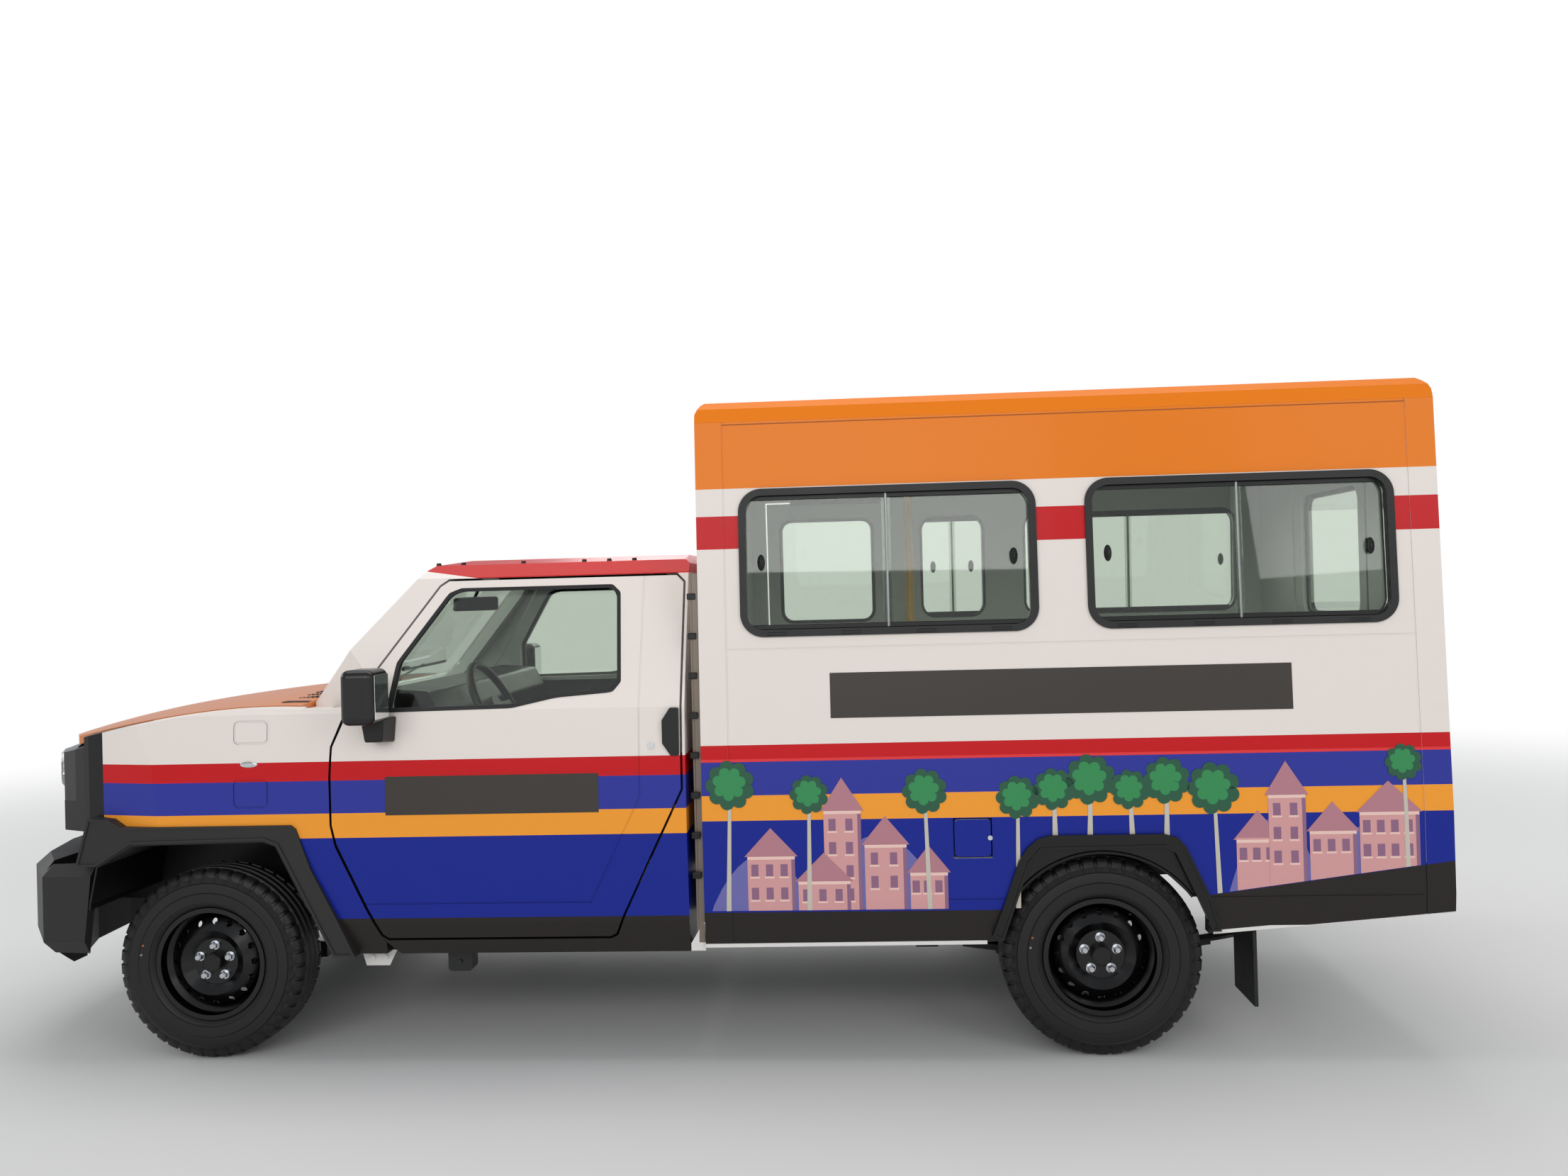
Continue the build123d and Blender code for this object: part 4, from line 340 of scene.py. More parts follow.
# The hood is enamel of its own, a copper orange under a clear coat
hood_paint = surface("copper_orange_enamel", "#E07F33", 0.32, 5.0, 0.015, 0.05, Coat_Weight=0.3,
                     Coat_Roughness=0.08)
dress(hood_paint, "hood")

# Plastic, rubber, glass and metal of the other CAD pieces
# Bumper, flares and mirrors are grained polypropylene that reads dull dark grey, seals are
# moulded rubber, glass is toughened float with a faint green, the chassis is in black paint.
bumper_grey = "#272625"
gloss_black_shade = "#050506"
chassis_black = "#111214"
glass_tint = "#D9E1D8"
dark_plastic = surface("grained_polypropylene", bumper_grey, 0.55, 1.6, 0.12, 0.08, Specular_IOR_Level=0.4)
black_plastic = surface("moulded_black_plastic", "#0C0D0E", 0.4, 2.0, 0.05, 0.1, Specular_IOR_Level=0.4)
rubber = surface("moulded_rubber", "#0D0D0E", 0.5, 3.0, 0.05, 0.1)
# Light from the lamps passes the glass as through a clear sheet, so the seats behind it are lit
glass = surface("toughened_glass", glass_tint, 0.02, 60.0, 0.0005, 0.0, Transmission_Weight=1.0, IOR=1.5)
tree = glass.node_tree
ray = add(tree, "ShaderNodeLightPath")
passing = add(tree, "ShaderNodeBsdfTransparent", {"Color": linear(glass_tint)})
mixed = add(tree, "ShaderNodeMixShader", {}, {0: ray.outputs["Is Shadow Ray"],
                                              1: tree.nodes["Principled BSDF"].outputs[0],
                                              2: passing.outputs[0]})
tree.links.new(mixed.outputs[0], tree.nodes["Material Output"].inputs["Surface"])
chassis_paint = surface("black_chassis_paint", chassis_black, 0.45, 4.0, 0.1, 0.15)
bare_steel = surface("bare_steel", "#8C8E90", 0.42, 2.0, 0.05, 0.15, Metallic=1.0)
cast_iron = surface("cast_iron", "#3E3E3F", 0.6, 3.0, 0.3, 0.12, Metallic=0.6)
rim_enamel = surface("black_rim_enamel", gloss_black_shade, 0.22, 6.0, 0.02, 0.06, Specular_IOR_Level=0.45)
grey_plastic = surface("moulded_grey_plastic", "#3C3E40", 0.5, 1.5, 0.08, 0.1)
chequer = surface("rubber_floor", "#4A4C4E", 0.7, 8.0, 0.6, 0.1)
dress(dark_plastic, "front_bumper", "nose_panel")
# The flares of the box are gloss black, those of the fenders are the bumper's dark grey
flare_plastic = surface("moulded_flare_plastic", bumper_grey, 0.55, 1.6, 0.1, 0.08, Specular_IOR_Level=0.4)
tree = flare_plastic.node_tree
parts = object_place(tree)
rear = sums(tree, "GREATER_THAN", parts.outputs["X"], 0.0)
two_tone(flare_plastic, rear, bumper_grey, gloss_black_shade)
gloss = add(tree, "ShaderNodeMapRange", {"To Min": 0.55, "To Max": 0.22}, {"Value": rear})
tree.links.new(gloss.outputs[0], tree.nodes["Principled BSDF"].inputs["Roughness"])
dress(flare_plastic, "arch_flares")
dress(black_plastic, "wheel_liners", "dashboard", "fuel_tank", "steering_wheel")
# Mirror heads and door handles are moulded in black with a polished face
gloss_black = surface("gloss_black_housing", "#0B0B0C", 0.27, 4.0, 0.02, 0.06, Specular_IOR_Level=0.5)
dress(gloss_black, "mirror_and_handle_left", "mirror_and_handle_right")
dress(rubber, "window_rubbers", "rubber_seals", "mud_flaps")
dress(glass, "window_panes", "cab_glass", "door_glass_left", "door_glass_right", "passenger_glass",
      "rear_door_glass")
dress(chassis_paint, "frame_ladder", "frame_members", "tow_eyes", "front_suspension", "rear_axle",
      "leaf_springs")
# The jacking plate under the sill is left white, the hangers of the exhaust beside it are black
# its place along the vehicle and half its length
jacking_x = -1.1015
jacking_reach = 0.070
jacking_white = "#D8D6D2"
plate_paint = surface("painted_bracket_steel", jacking_white, 0.45, 4.0, 0.1, 0.12)
tree = plate_paint.node_tree
parts = object_place(tree)
jacking = sums(tree, "COMPARE", parts.outputs["X"], jacking_x, jacking_reach)
two_tone(plate_paint, jacking, chassis_black, jacking_white)
dress(plate_paint, "sill_brackets")
dress(bare_steel, "exhaust", "tie_rod")
dress(cast_iron, "engine_block", "knuckle_left", "knuckle_right")
dress(rim_enamel, "rim_front_left", "rim_front_right", "rim_rear_left", "rim_rear_right")
dress(grey_plastic, "bench_frames")
dress(chequer, "box_floor")


# Tyres
# All-terrain radials: black rubber over a steel belt, with open shoulder blocks, rings round
# the side wall and fine ribs that run out to the shoulder. They are moulded, then inflated.
front_axle_x = -1.6925
rear_axle_x = 1.3925
hub_height = 0.333
wheel_side = 0.7525
# radius and distance from the tyre's middle, from the bead out to the middle of the tread
tyre_section = (
    (0.1885, 0.0725), (0.1965, 0.0755), (0.2040, 0.0865), (0.2130, 0.0925), (0.2155, 0.0925),
    (0.2175, 0.0955), (0.2320, 0.0975), (0.2500, 0.0985), (0.2515, 0.0968), (0.2535, 0.0985),
    (0.2660, 0.0985), (0.2840, 0.0955), (0.2855, 0.0935), (0.2875, 0.0948), (0.3030, 0.0900),
    (0.3175, 0.0835), (0.3262, 0.0775), (0.3305, 0.0680), (0.3318, 0.0560), (0.3235, 0.0530),
    (0.3235, 0.0460), (0.3322, 0.0430), (0.3326, 0.0230), (0.3245, 0.0200), (0.3245, 0.0130),
    (0.3329, 0.0100), (0.3330, 0.0000),
)
tyre_blocks = 42
# where the four rings of a block stand within its pitch, the last two at the foot of the notch
block_rings = (0.0, 0.68, 0.74, 0.94)
shoulder_cut = 0.0065

tyre_rubber = bpy.data.materials.new("moulded_tyre_rubber")
tyre_rubber.use_nodes = True
tree = tyre_rubber.node_tree
shader = tree.nodes["Principled BSDF"]
shader.inputs["Roughness"].default_value = 0.5
shader.inputs["Specular IOR Level"].default_value = 0.45
unrolled = add(tree, "ShaderNodeUVMap", {"uv_map": "around_and_out"})
unrolled = add(tree, "ShaderNodeSeparateXYZ", {}, {0: unrolled.outputs["UV"]})
around = unrolled.outputs["X"]
out = unrolled.outputs["Y"]
# Ribs 3 mm apart at the shoulder, between two rings of the side wall
ribs_around = 640
rib = sums(tree, "MULTIPLY", around, 2 * pi * ribs_around)
rib = sums(tree, "SINE", rib)
rib_ring = 0.296
rib_half = 0.008
inside = sums(tree, "COMPARE", out, rib_ring, rib_half)
rib = sums(tree, "MULTIPLY", rib, inside)
emboss(tyre_rubber, rib, 0.8)
outermost = add(tree, "ShaderNodeMapRange", {"From Min": 0.322, "From Max": 0.332}, {"Value": out})
dust = add(tree, "ShaderNodeTexNoise", {"Scale": 35.0, "Detail": 5.0},
           {"Vector": add(tree, "ShaderNodeTexCoord").outputs["Object"]})
worn = sums(tree, "MULTIPLY", outermost.outputs[0], dust.outputs["Fac"])
two_tone(tyre_rubber, worn, "#0E0D0D", "#2C2926")


def make_tyre(name, body, node, x, side):
    """A tyre spun from its section, with every fourth ring of the shoulder pressed in as a notch."""
    shape = bmesh.new()
    section = [(r, y) for r, y in tyre_section] + [(r, -y) for r, y in reversed(tyre_section[:-1])]
    ring = [shape.verts.new((r, y, 0.0)) for r, y in section]
    edges = [shape.edges.new(pair) for pair in zip(ring, ring[1:])]
    edges.append(shape.edges.new((ring[-1], ring[0])))
    rings = len(block_rings)
    bmesh.ops.spin(shape, geom=ring + edges, axis=(0, 1, 0), cent=(0, 0, 0), steps=tyre_blocks * rings,
                   angle=2 * pi, use_merge=True)
    for vert in shape.verts:
        r = (vert.co.x ** 2 + vert.co.z ** 2) ** 0.5
        step = round(atan2(vert.co.z, vert.co.x) / (2 * pi) * tyre_blocks * rings) % (tyre_blocks * rings)
        turn = 2 * pi * (step // rings + block_rings[step % rings]) / tyre_blocks
        if step % rings > 1 and r > 0.300 and abs(vert.co.y) > 0.055:
            r -= shoulder_cut
        vert.co.x = r * cos(turn)
        vert.co.z = r * sin(turn)
    bmesh.ops.recalc_face_normals(shape, faces=shape.faces[:])
    layer = shape.loops.layers.uv.new("around_and_out")
    for face in shape.faces:
        middle = face.calc_center_median()
        home = atan2(middle.z, middle.x)
        for loop in face.loops:
            place = loop.vert.co
            turn = atan2(place.z, place.x)
            turn += 2 * pi * round((home - turn) / (2 * pi))
            loop[layer].uv = (turn / (2 * pi), (place.x ** 2 + place.z ** 2) ** 0.5)
    bmesh.ops.translate(shape, verts=shape.verts[:], vec=(x, side * wheel_side, hub_height))
    made = show(shape, name, tyre_rubber, True)
    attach(made, body)
    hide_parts(node)


sides = ((-1, "left"), (1, "right"))
wheels = [
    (end + "_" + hand, x, side)
    for end, x in (("front", front_axle_x), ("rear", rear_axle_x))
    for side, hand in sides
]
for wheel, x, side in wheels:
    make_tyre("road_tyre_" + wheel, "wheel_" + wheel, "tyre_" + wheel, x, side)


# Wheel nuts and valve
# Five plated taper nuts on a 114.3 mm circle and a rubber valve stem through the black rim.
def rounded(shape, parts, radius, segments, affect="EDGES", clamped=False):
    """Edges or corners rounded to a radius, and the vertices that this makes."""
    return bmesh.ops.bevel(shape, geom=parts, offset=radius, offset_type="OFFSET", affect=affect,
                           segments=segments, profile=0.5, material=-1, clamp_overlap=clamped)["verts"]


def block(shape, low, high, bevel=0.0, segments=2):
    """A box between two corners, its edges rounded, added to a shape."""
    size = [abs(b - a) for a, b in zip(low, high)]
    middle = [(a + b) / 2 for a, b in zip(low, high)]
    place = Matrix.Translation(middle) @ Matrix.Diagonal((*size, 1.0))
    made = bmesh.ops.create_cube(shape, size=1.0, matrix=place)["verts"]
    if bevel > 0:
        edges = {edge for vert in made for edge in vert.link_edges}
        made = rounded(shape, list(edges), bevel, segments, clamped=True)
    return made


def bar(shape, start, end, radius, tip=None, segments=20):
    """A round bar or cone between two points, added to a shape."""
    start = Vector(start)
    end = Vector(end)
    turn = (end - start).to_track_quat("Z", "Y").to_matrix().to_4x4()
    place = Matrix.Translation((start + end) / 2) @ turn
    return bmesh.ops.create_cone(shape, cap_ends=True, segments=segments, radius1=radius,
                                 radius2=radius if tip is None else tip, depth=(end - start).length,
                                 matrix=place)["verts"]


def pushed(shape, corners, reach):
    """A plate from a face with these corners, reach metres thick along Y. Gives its far corners."""
    face = shape.faces.new([shape.verts.new(corner) for corner in corners])
    made = bmesh.ops.extrude_face_region(shape, geom=[face])["geom"]
    outer = [part for part in made if isinstance(part, bmesh.types.BMVert)]
    bmesh.ops.translate(shape, verts=outer, vec=(0, reach, 0))
    return outer


def fit(shape, name, material, body, smooth=False):
    """A finished piece that rides on a body."""
    made = show(shape, name, material, smooth)
    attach(made, body)
    return made


nut_circle = 0.05715
nut_across = 0.0135
nut_seat = 0.797
nut_tip = 0.8215
nut_chrome = surface("zinc_plated_steel", "#C9CCD0", 0.24, 1.5, 0.02, 0.08, Metallic=1.0)
for wheel, x, side in wheels:
    shape = bmesh.new()
    for number in range(5):
        angle = radians(90 + 72 * number)
        nut_x = x + nut_circle * cos(angle)
        nut_z = hub_height + nut_circle * sin(angle)
        bar(shape, (nut_x, side * nut_seat, nut_z), (nut_x, side * (nut_seat + 0.004), nut_z), 0.0165)
        bar(shape, (nut_x, side * (nut_seat + 0.003), nut_z), (nut_x, side * (nut_tip - 0.004), nut_z),
            nut_across, segments=6)
        bar(shape, (nut_x, side * (nut_tip - 0.004), nut_z), (nut_x, side * nut_tip, nut_z),
            nut_across, 0.009, 6)
    fit(shape, "wheel_nuts_" + wheel, nut_chrome, "wheel_" + wheel)
    shape = bmesh.new()
    bar(shape, (x, side * 0.790, hub_height), (x, side * 0.8268, hub_height), 0.0318, segments=40)
    bar(shape, (x, side * 0.8268, hub_height), (x, side * 0.8290, hub_height), 0.0318, 0.0290, 40)
    stem_x = x + 0.168 * cos(radians(54))
    stem_z = hub_height + 0.168 * sin(radians(54))
    bar(shape, (stem_x, side * 0.775, stem_z), (stem_x, side * 0.812, stem_z), 0.0045, 0.0036, 12)
    fit(shape, "centre_cap_" + wheel, rim_enamel, "wheel_" + wheel, True)

# Two paint dots from the tyre shop mark the light spot and the high spot of each side wall
dot_circle = 0.243
orange_dot = surface("orange_marking_paint", "#A4532C", 0.6, 1.5, 0.02, 0.05)
white_dot = surface("white_marking_paint", "#8D867E", 0.6, 1.5, 0.02, 0.05)
for wheel, x, side in wheels:
    for name, paint, angle in (("orange_dot_", orange_dot, 163), ("white_dot_", white_dot, 171)):
        shape = bmesh.new()
        dot_x = x + dot_circle * cos(radians(angle))
        dot_z = hub_height + dot_circle * sin(radians(angle))
        bar(shape, (dot_x, side * 0.8490, dot_z), (dot_x, side * 0.8518, dot_z), 0.0045, 0.0040, 16)
        fit(shape, name + wheel, paint, "wheel_" + wheel)


# Side windows of the box
# Sliding panes of tinted float in a moulded rubber surround, with a meeting post where the
# panes overlap, oval finger latches on the panes and drain clips along the sill.
box_half = 0.882
box_waist = 0.813
box_lean = 0.045
box_crease = 0.545
box_tuck = 0.09


def box_y(z):
    """Distance of the box side's skin from the centre line at one height."""
    return box_half - max(0.0, z - box_waist) * box_lean - max(0.0, box_crease - z) * box_tuck


def leaned(verts, side):
    """Pieces built on an upright side lean in with it above the waist."""
    for vert in verts:
        vert.co.y -= side * (box_half - box_y(vert.co.z))


latch_height = 1.685
post_half = 0.0045
# side, front and rear edge of each window behind the front axle, in millimetres
box_windows = ((-1, 1900, 2904), (-1, 3066, 4072), (1, 2584, 2912), (1, 3066, 4072))
window_sill = 1.432
window_head = 1.937
post_metal = surface("anodised_aluminium", "#8F9492", 0.34, 1.0, 0.02, 0.08, Metallic=0.7)
chrome = surface("chromed_zinc", "#D6D8DA", 0.16, 2.0, 0.01, 0.05, Metallic=1.0)


def at(mm):
    """A place in metres, from millimetres behind the front axle."""
    return front_axle_x + mm / 1000


posts = bmesh.new()
rails = bmesh.new()
latches = bmesh.new()
clips = bmesh.new()
for side, first, last in box_windows:
    middle = at((first + last) / 2)
    low = window_sill + 0.024
    high = window_head - 0.024
    outer = side * (box_half - 0.006)
    inner = side * (box_half - 0.030)
    leaned(block(posts, (middle - post_half, inner, low), (middle + post_half, outer, high), 0.003), side)
    for rail in (low, high - 0.016):
        verts = block(rails, (at(first) + 0.026, inner, rail),
                      (at(last) - 0.026, outer - side * 0.004, rail + 0.016), 0.002)
        leaned(verts, side)
    for place in (at(first) + 0.074, at(last) - 0.076):
        # the oval cup and the finger rib on it: depth behind the skin, half sizes and fineness
        ovals = ((0.012, (0.013, 0.009, 0.028), 24), (0.004, (0.006, 0.006, 0.016), 20))
        for depth, half_sizes, around_it in ovals:
            turn = Matrix.Translation((place, side * (box_half - depth), latch_height))
            turn = turn @ Matrix.Diagonal((*half_sizes, 1.0))
            verts = bmesh.ops.create_uvsphere(latches, u_segments=around_it, v_segments=around_it // 2,
                                              radius=1.0, matrix=turn)["verts"]
            leaned(verts, side)
    count = 4 if last - first > 500 else 2
    for number in range(count):
        place = at(first) + (last - first) / 1000 * (number + 0.5) / count
        leaned(block(clips, (place - 0.034, side * (box_half - 0.002), window_sill + 0.004),
                     (place + 0.034, side * (box_half + 0.0095), window_sill + 0.017), 0.003), side)
fit(posts, "window_meeting_posts", post_metal, "body")
fit(rails, "window_pane_rails", black_plastic, "body")
fit(latches, "window_finger_latches", black_plastic, "body", True)
fit(clips, "window_drain_clips", black_plastic, "body")


# Sill strip and bare sign panels of the box
# A folded aluminium strip closes the bottom edge of each side, white underneath, and a plain
# dark vinyl panel is stuck under the windows of each side.
sill_white = surface("white_folded_aluminium", "#E4E2DE", 0.35, 6.0, 0.02, 0.08)
shape = bmesh.new()
# first, last, height of the edge at each end
for first, last, low_first, low_last in ((1755, 2700, 0.387, 0.391), (3440, 4214, 0.418, 0.482)):
    for side in (-1, 1):
        verts = block(shape, (at(first), side * (box_half - 0.020), 0.0),
                      (at(last), side * (box_half - 0.009), 0.012))
        for vert in verts:
            share = (vert.co.x - at(first)) / (at(last) - at(first))
            vert.co.z += low_first + (low_last - low_first) * share
fit(shape, "sill_edge_strips", sill_white, "body")

sign_vinyl = surface("dark_vinyl_sign", "#332D27", 0.4, 12.0, 0.01, 0.05)
shape = bmesh.new()
for side, first in ((-1, 2198), (1, 2500)):
    verts = block(shape, (at(first), side * (box_half - 0.0005), 1.154),
                  (at(3720), side * (box_half + 0.0012), 1.306))
    leaned(verts, side)
fit(shape, "bare_sign_panels", sign_vinyl, "body")


# Printed scene on the box sides
# Cut vinyl films of hills, gabled houses and round trees run along the stripes in rose and
# green, like the rest of the wrap. Each colour is one film, laid over the film before it.
film = 0.00025
wedge_foot = 0.512


def lay(shape, outline, layer, reach=None):
    """A cutting of film on both box sides, its corners in mm behind the front axle and above the ground.

    Those whose foremost reach is beside the entry door are left off the right side.
    """
    foremost = min(x for x, z in outline) if reach is None else reach
    for side in (-1, 1):
        if side > 0 and foremost < 2480:
            continue
        corners = [shape.verts.new((at(x), side * (1 + layer * film), z / 1000)) for x, z in outline]
        shape.faces.new(corners)


def disc(shape, x, z, radius, layer, reach, corners=18):
    """A round cutting of film."""
    lay(shape, [(x + radius * cos(2 * pi * n / corners), z + radius * sin(2 * pi * n / corners))
                for n in range(corners)], layer, reach)


def upright(first, last, low, high):
    """The outline of a rectangle."""
    return [(first, low), (last, low), (last, high), (first, high)]


def stick(shape, name, colour):
    """The cuttings of one colour, trimmed at the sill and folded over the side's bends."""
    wedge_edge = ((wedge_start, 0, wedge_low + 0.002), (-wedge_slope, 0, 1))
    for place, normal in (wedge_edge, ((0, 0, wedge_foot), (0, 0, 1))):
        bmesh.ops.bisect_plane(shape, geom=shape.verts[:] + shape.edges[:] + shape.faces[:], dist=1e-6,
                               plane_co=place, plane_no=normal, clear_inner=True)
    for height in (box_crease, box_waist):
        bmesh.ops.bisect_plane(shape, geom=shape.verts[:] + shape.edges[:] + shape.faces[:], dist=1e-6,
                               plane_co=(0, 0, height), plane_no=(0, 0, 1))
    for vert in shape.verts:
        side = 1 if vert.co.y > 0 else -1
        vert.co.y = side * (box_y(vert.co.z) + abs(vert.co.y) - 1)
    bmesh.ops.recalc_face_normals(shape, faces=shape.faces[:])
    bmesh.ops.solidify(shape, geom=shape.faces[:], thickness=film * 0.6)
    bmesh.ops.recalc_face_normals(shape, faces=shape.faces[:])
    vinyl = surface("printed_film_" + name, colour, 0.34, 6.0, 0.01, 0.05)
    fit(shape, "print_" + name, vinyl, "body")


hills = bmesh.new()
walls = bmesh.new()
gables = bmesh.new()
shades = bmesh.new()
lights = bmesh.new()
trunks = bmesh.new()
leaves = bmesh.new()
dark_leaves = bmesh.new()
# first, last, base and top of each hill, in mm
for first, last, base, top in (
    (1760, 2150, 440, 700), (2090, 2590, 440, 760), (3470, 3820, 440, 800), (3740, 4120, 440, 770),
):
    steps = 14
    ridge = [(first + (last - first) * n / steps, base + (top - base) * sin(pi * n / steps) ** 0.7)
             for n in range(steps + 1)]
    lay(hills, ridge[::-1], 1)
house_foot = 430
# first, last, eaves, ridge, columns and rows of windows
houses = (
    (1905, 2065, 700, 790, 3, 2), (2165, 2290, 850, 955, 2, 4), (2075, 2250, 615, 705, 3, 1),
    (2300, 2440, 735, 825, 2, 2), (2450, 2575, 640, 725, 3, 1), (3625, 3745, 880, 985, 2, 3),
    (3520, 3660, 735, 825, 3, 1), (3755, 3905, 760, 850, 3, 1), (3915, 4105, 820, 915, 4, 2),
)
for number, (first, last, eaves, ridge, columns, rows) in enumerate(houses):
    level = 2 + 2 * (number % 3)
    reach = first - 10
    lay(walls, upright(first, last, house_foot, eaves), level, reach)
    lay(gables, [(first - 10, eaves - 6), (last + 10, eaves - 6), ((first + last) / 2, ridge)], level + 0.5,
        reach)
    lay(lights, upright(first, last, eaves - 16, eaves - 6), level + 1, reach)
    lay(shades, upright(last - 12, last, house_foot, eaves - 16), level + 1, reach)
    pitch = (last - first - 12) / columns
    for row in range(rows):
        sill = eaves - 72 - 78 * row
        for column in range(columns):
            left = first + pitch * (column + 0.5) - 12
            lay(shades, upright(left, left + 24, sill, sill + 40), level + 1, reach)
            lay(lights, upright(left - 4, left + 28, sill - 7, sill - 1), level + 1, reach)
# place, foot, middle and radius of the crown, lean of the trunk
trees = (
    (1852, 430, 935, 84, 16), (2118, 430, 900, 66, 8), (2505, 430, 905, 76, -10), (2812, 430, 880, 72, 8),
    (2932, 740, 905, 70, 0), (3052, 740, 935, 84, 6), (3180, 740, 900, 66, -4), (3300, 740, 928, 78, 4),
    (3452, 430, 900, 86, -14), (4062, 430, 975, 60, -6),
)
for x, foot, crown, radius, lean in trees:
    reach = x - radius
    lay(trunks, [(x - lean - 9, foot), (x - lean + 9, foot), (x + 5, crown), (x - 5, crown)], 8, reach)
    disc(dark_leaves, x, crown, radius * 0.72, 9, reach)
    disc(leaves, x - 3, crown + 5, radius * 0.50, 10, reach)
    for number in range(9):
        angle = radians(40 * number + 20)
        spread = radius * 0.70
        disc(dark_leaves, x + spread * cos(angle), crown + spread * sin(angle), radius * 0.30,
             9.2 + 0.2 * (number % 2), reach, 14)
    for number in range(7):
        angle = radians(360 / 7 * number + 10)
        spread = radius * 0.46
        disc(leaves, x - 3 + spread * cos(angle), crown + 5 + spread * sin(angle), radius * 0.22,
             10.2 + 0.2 * (number % 2), reach, 12)
stick(hills, "hills", "#6A68AC")
stick(walls, "walls", "#D79D9C")
stick(gables, "gables", "#B57C88")
stick(lights, "edges", "#F0CBBF")
stick(shades, "windows", "#8E6382")
stick(trunks, "trunks", "#C8C2B4")
stick(dark_leaves, "leaves_dark", "#17563A")
stick(leaves, "leaves", "#2A8B4E")


# Liners of the rear wheel arches
# Black moulded liners close the arch between the flare and the tyre, with a round rolled edge
# 24 mm clear of the tread. They are screwed to the flare and run in to the wheel well.
liner_black = surface("gloss_moulded_liner", "#060607", 0.3, 4.0, 0.03, 0.08, Specular_IOR_Level=0.4)
liner_radius = 0.357
liner_face = 0.868
liner_deep = 0.615
# the outline behind the flare, from the front foot over the top to the rear foot
liner_outline = (
    (2752, 428), (2800, 590), (2838, 688), (2880, 728), (3290, 730), (3328, 712), (3398, 540),
)
for side, hand in sides:
    shape = bmesh.new()
    start = pi - atan2(0.428 - hub_height, 0.345)
    stop = atan2(0.540 - hub_height, 0.290)
    steps = 36
    arc = []
    for step in range(steps + 1):
        angle = start + (stop - start) * step / steps
        arc.append((rear_axle_x + liner_radius * cos(angle), hub_height + liner_radius * sin(angle)))
    outline = [(at(x), z / 1000) for x, z in liner_outline] + arc[::-1]
    pushed(shape, [(x, side * liner_face, z) for x, z in outline], -side * 0.006)
    bmesh.ops.recalc_face_normals(shape, faces=shape.faces[:])
    section = ((liner_radius, liner_face - 0.003), (liner_radius - 0.004, liner_face + 0.004),
               (liner_radius + 0.004, liner_face + 0.006), (liner_radius + 0.008, liner_face),
               (liner_radius + 0.008, liner_deep), (liner_radius, liner_deep))
    ring = [shape.verts.new((r * cos(start), side * y, r * sin(start))) for r, y in section]
    shape.faces.new(ring)
    rolled = list({edge for vert in ring for edge in vert.link_edges})
    bmesh.ops.spin(shape, geom=ring + rolled, axis=(0, 1, 0), cent=(0, 0, 0), steps=steps,
                   angle=start - stop)
    edge_verts = [vert for vert in shape.verts
                  if abs((vert.co.x ** 2 + vert.co.z ** 2) ** 0.5 - 0.36) < 0.02 and vert.co.length < 1.0]
    bmesh.ops.translate(shape, verts=edge_verts, vec=(rear_axle_x, 0, hub_height))
    bmesh.ops.recalc_face_normals(shape, faces=shape.faces[:])
    fit(shape, "rear_arch_liner_" + hand, liner_black, "body")


# Fuel flap catch and the painted shade of the seam along the top of each side
# The flap closes on a small plated catch. The top edge of the wrapped panel ends in a seam under
# the roof's edge, and a thin dark orange strip along it is painted shade for the seam's groove.
shape = bmesh.new()
bar(shape, (at(2718), -box_half + 0.002, 0.747), (at(2718), -box_half - 0.003, 0.747), 0.008)
fit(shape, "fuel_flap_catch", chrome, "fuel_flap")
# A thin strip of darkened orange: painted shade of the seam's groove under the roof's edge
painted_groove_shade = surface("painted_seam_groove_shade", "#A4550E", 0.6, 3.0, 0.02, 0.05)
shape = bmesh.new()
for side in (-1, 1):
    verts = block(shape, (at(1850), side * (box_half - 0.002), 2.1585),
                  (at(4121), side * (box_half + 0.0004), 2.1625))
    leaned(verts, side)
fit(shape, "top_seam_painted_shade", painted_groove_shade, "body")


# Door sign panel, key lock and mirror glass
# Each cab door carries the same plain dark vinyl panel as the box, a plated key cylinder ahead
# of its handle, and a mirror with a silvered glass set into the rear face of its head.
# height and distance from the centre line of the cab side's skin
cab_section = (
    (0.370, 0.852), (0.480, 0.872), (0.780, 0.885), (1.030, 0.880), (1.205, 0.866), (1.665, 0.678),
)


def cab_y(z):
    """Distance of the cab side's skin from the centre line at one height."""
    for (low, low_y), (high, high_y) in zip(cab_section, cab_section[1:]):
        if z <= high:
            return low_y + (high_y - low_y) * (z - low) / (high - low)
    return high_y


lock_x = at(1586)
lock_height = 1.073
mirror_near = 0.930
mirror_far = 1.044
mirror_silver = surface("silvered_mirror_glass", "#D9DEE0", 0.04, 60.0, 0.0005, 0.01, Metallic=1.0)
for side, hand in sides:
    shape = bmesh.new()
    verts = block(shape, (at(662), -0.0015, 0.853), (at(1403), 0.0009, 0.985))
    for vert in verts:
        vert.co.y = side * (cab_y(vert.co.z) + vert.co.y)
    bmesh.ops.recalc_face_normals(shape, faces=shape.faces[:])
    fit(shape, "door_sign_panel_" + hand, sign_vinyl, "cab_door_" + hand)
    shape = bmesh.new()
    lock_y = cab_y(lock_height)
    for reach, radius in ((0.0025, 0.0135), (0.004, 0.0105), (0.0048, 0.0045)):
        bar(shape, (lock_x, side * (lock_y - 0.004), lock_height),
            (lock_x, side * (lock_y + reach), lock_height), radius)
    fit(shape, "door_key_lock_" + hand, chrome, "cab_door_" + hand, True)
    shape = bmesh.new()
    near, far = sorted((side * mirror_near, side * mirror_far))
    block(shape, (at(699), near, 1.196), (at(701.5), far, 1.344), 0.0011)
    fit(shape, "door_mirror_glass_" + hand, mirror_silver, "cab_door_" + hand)


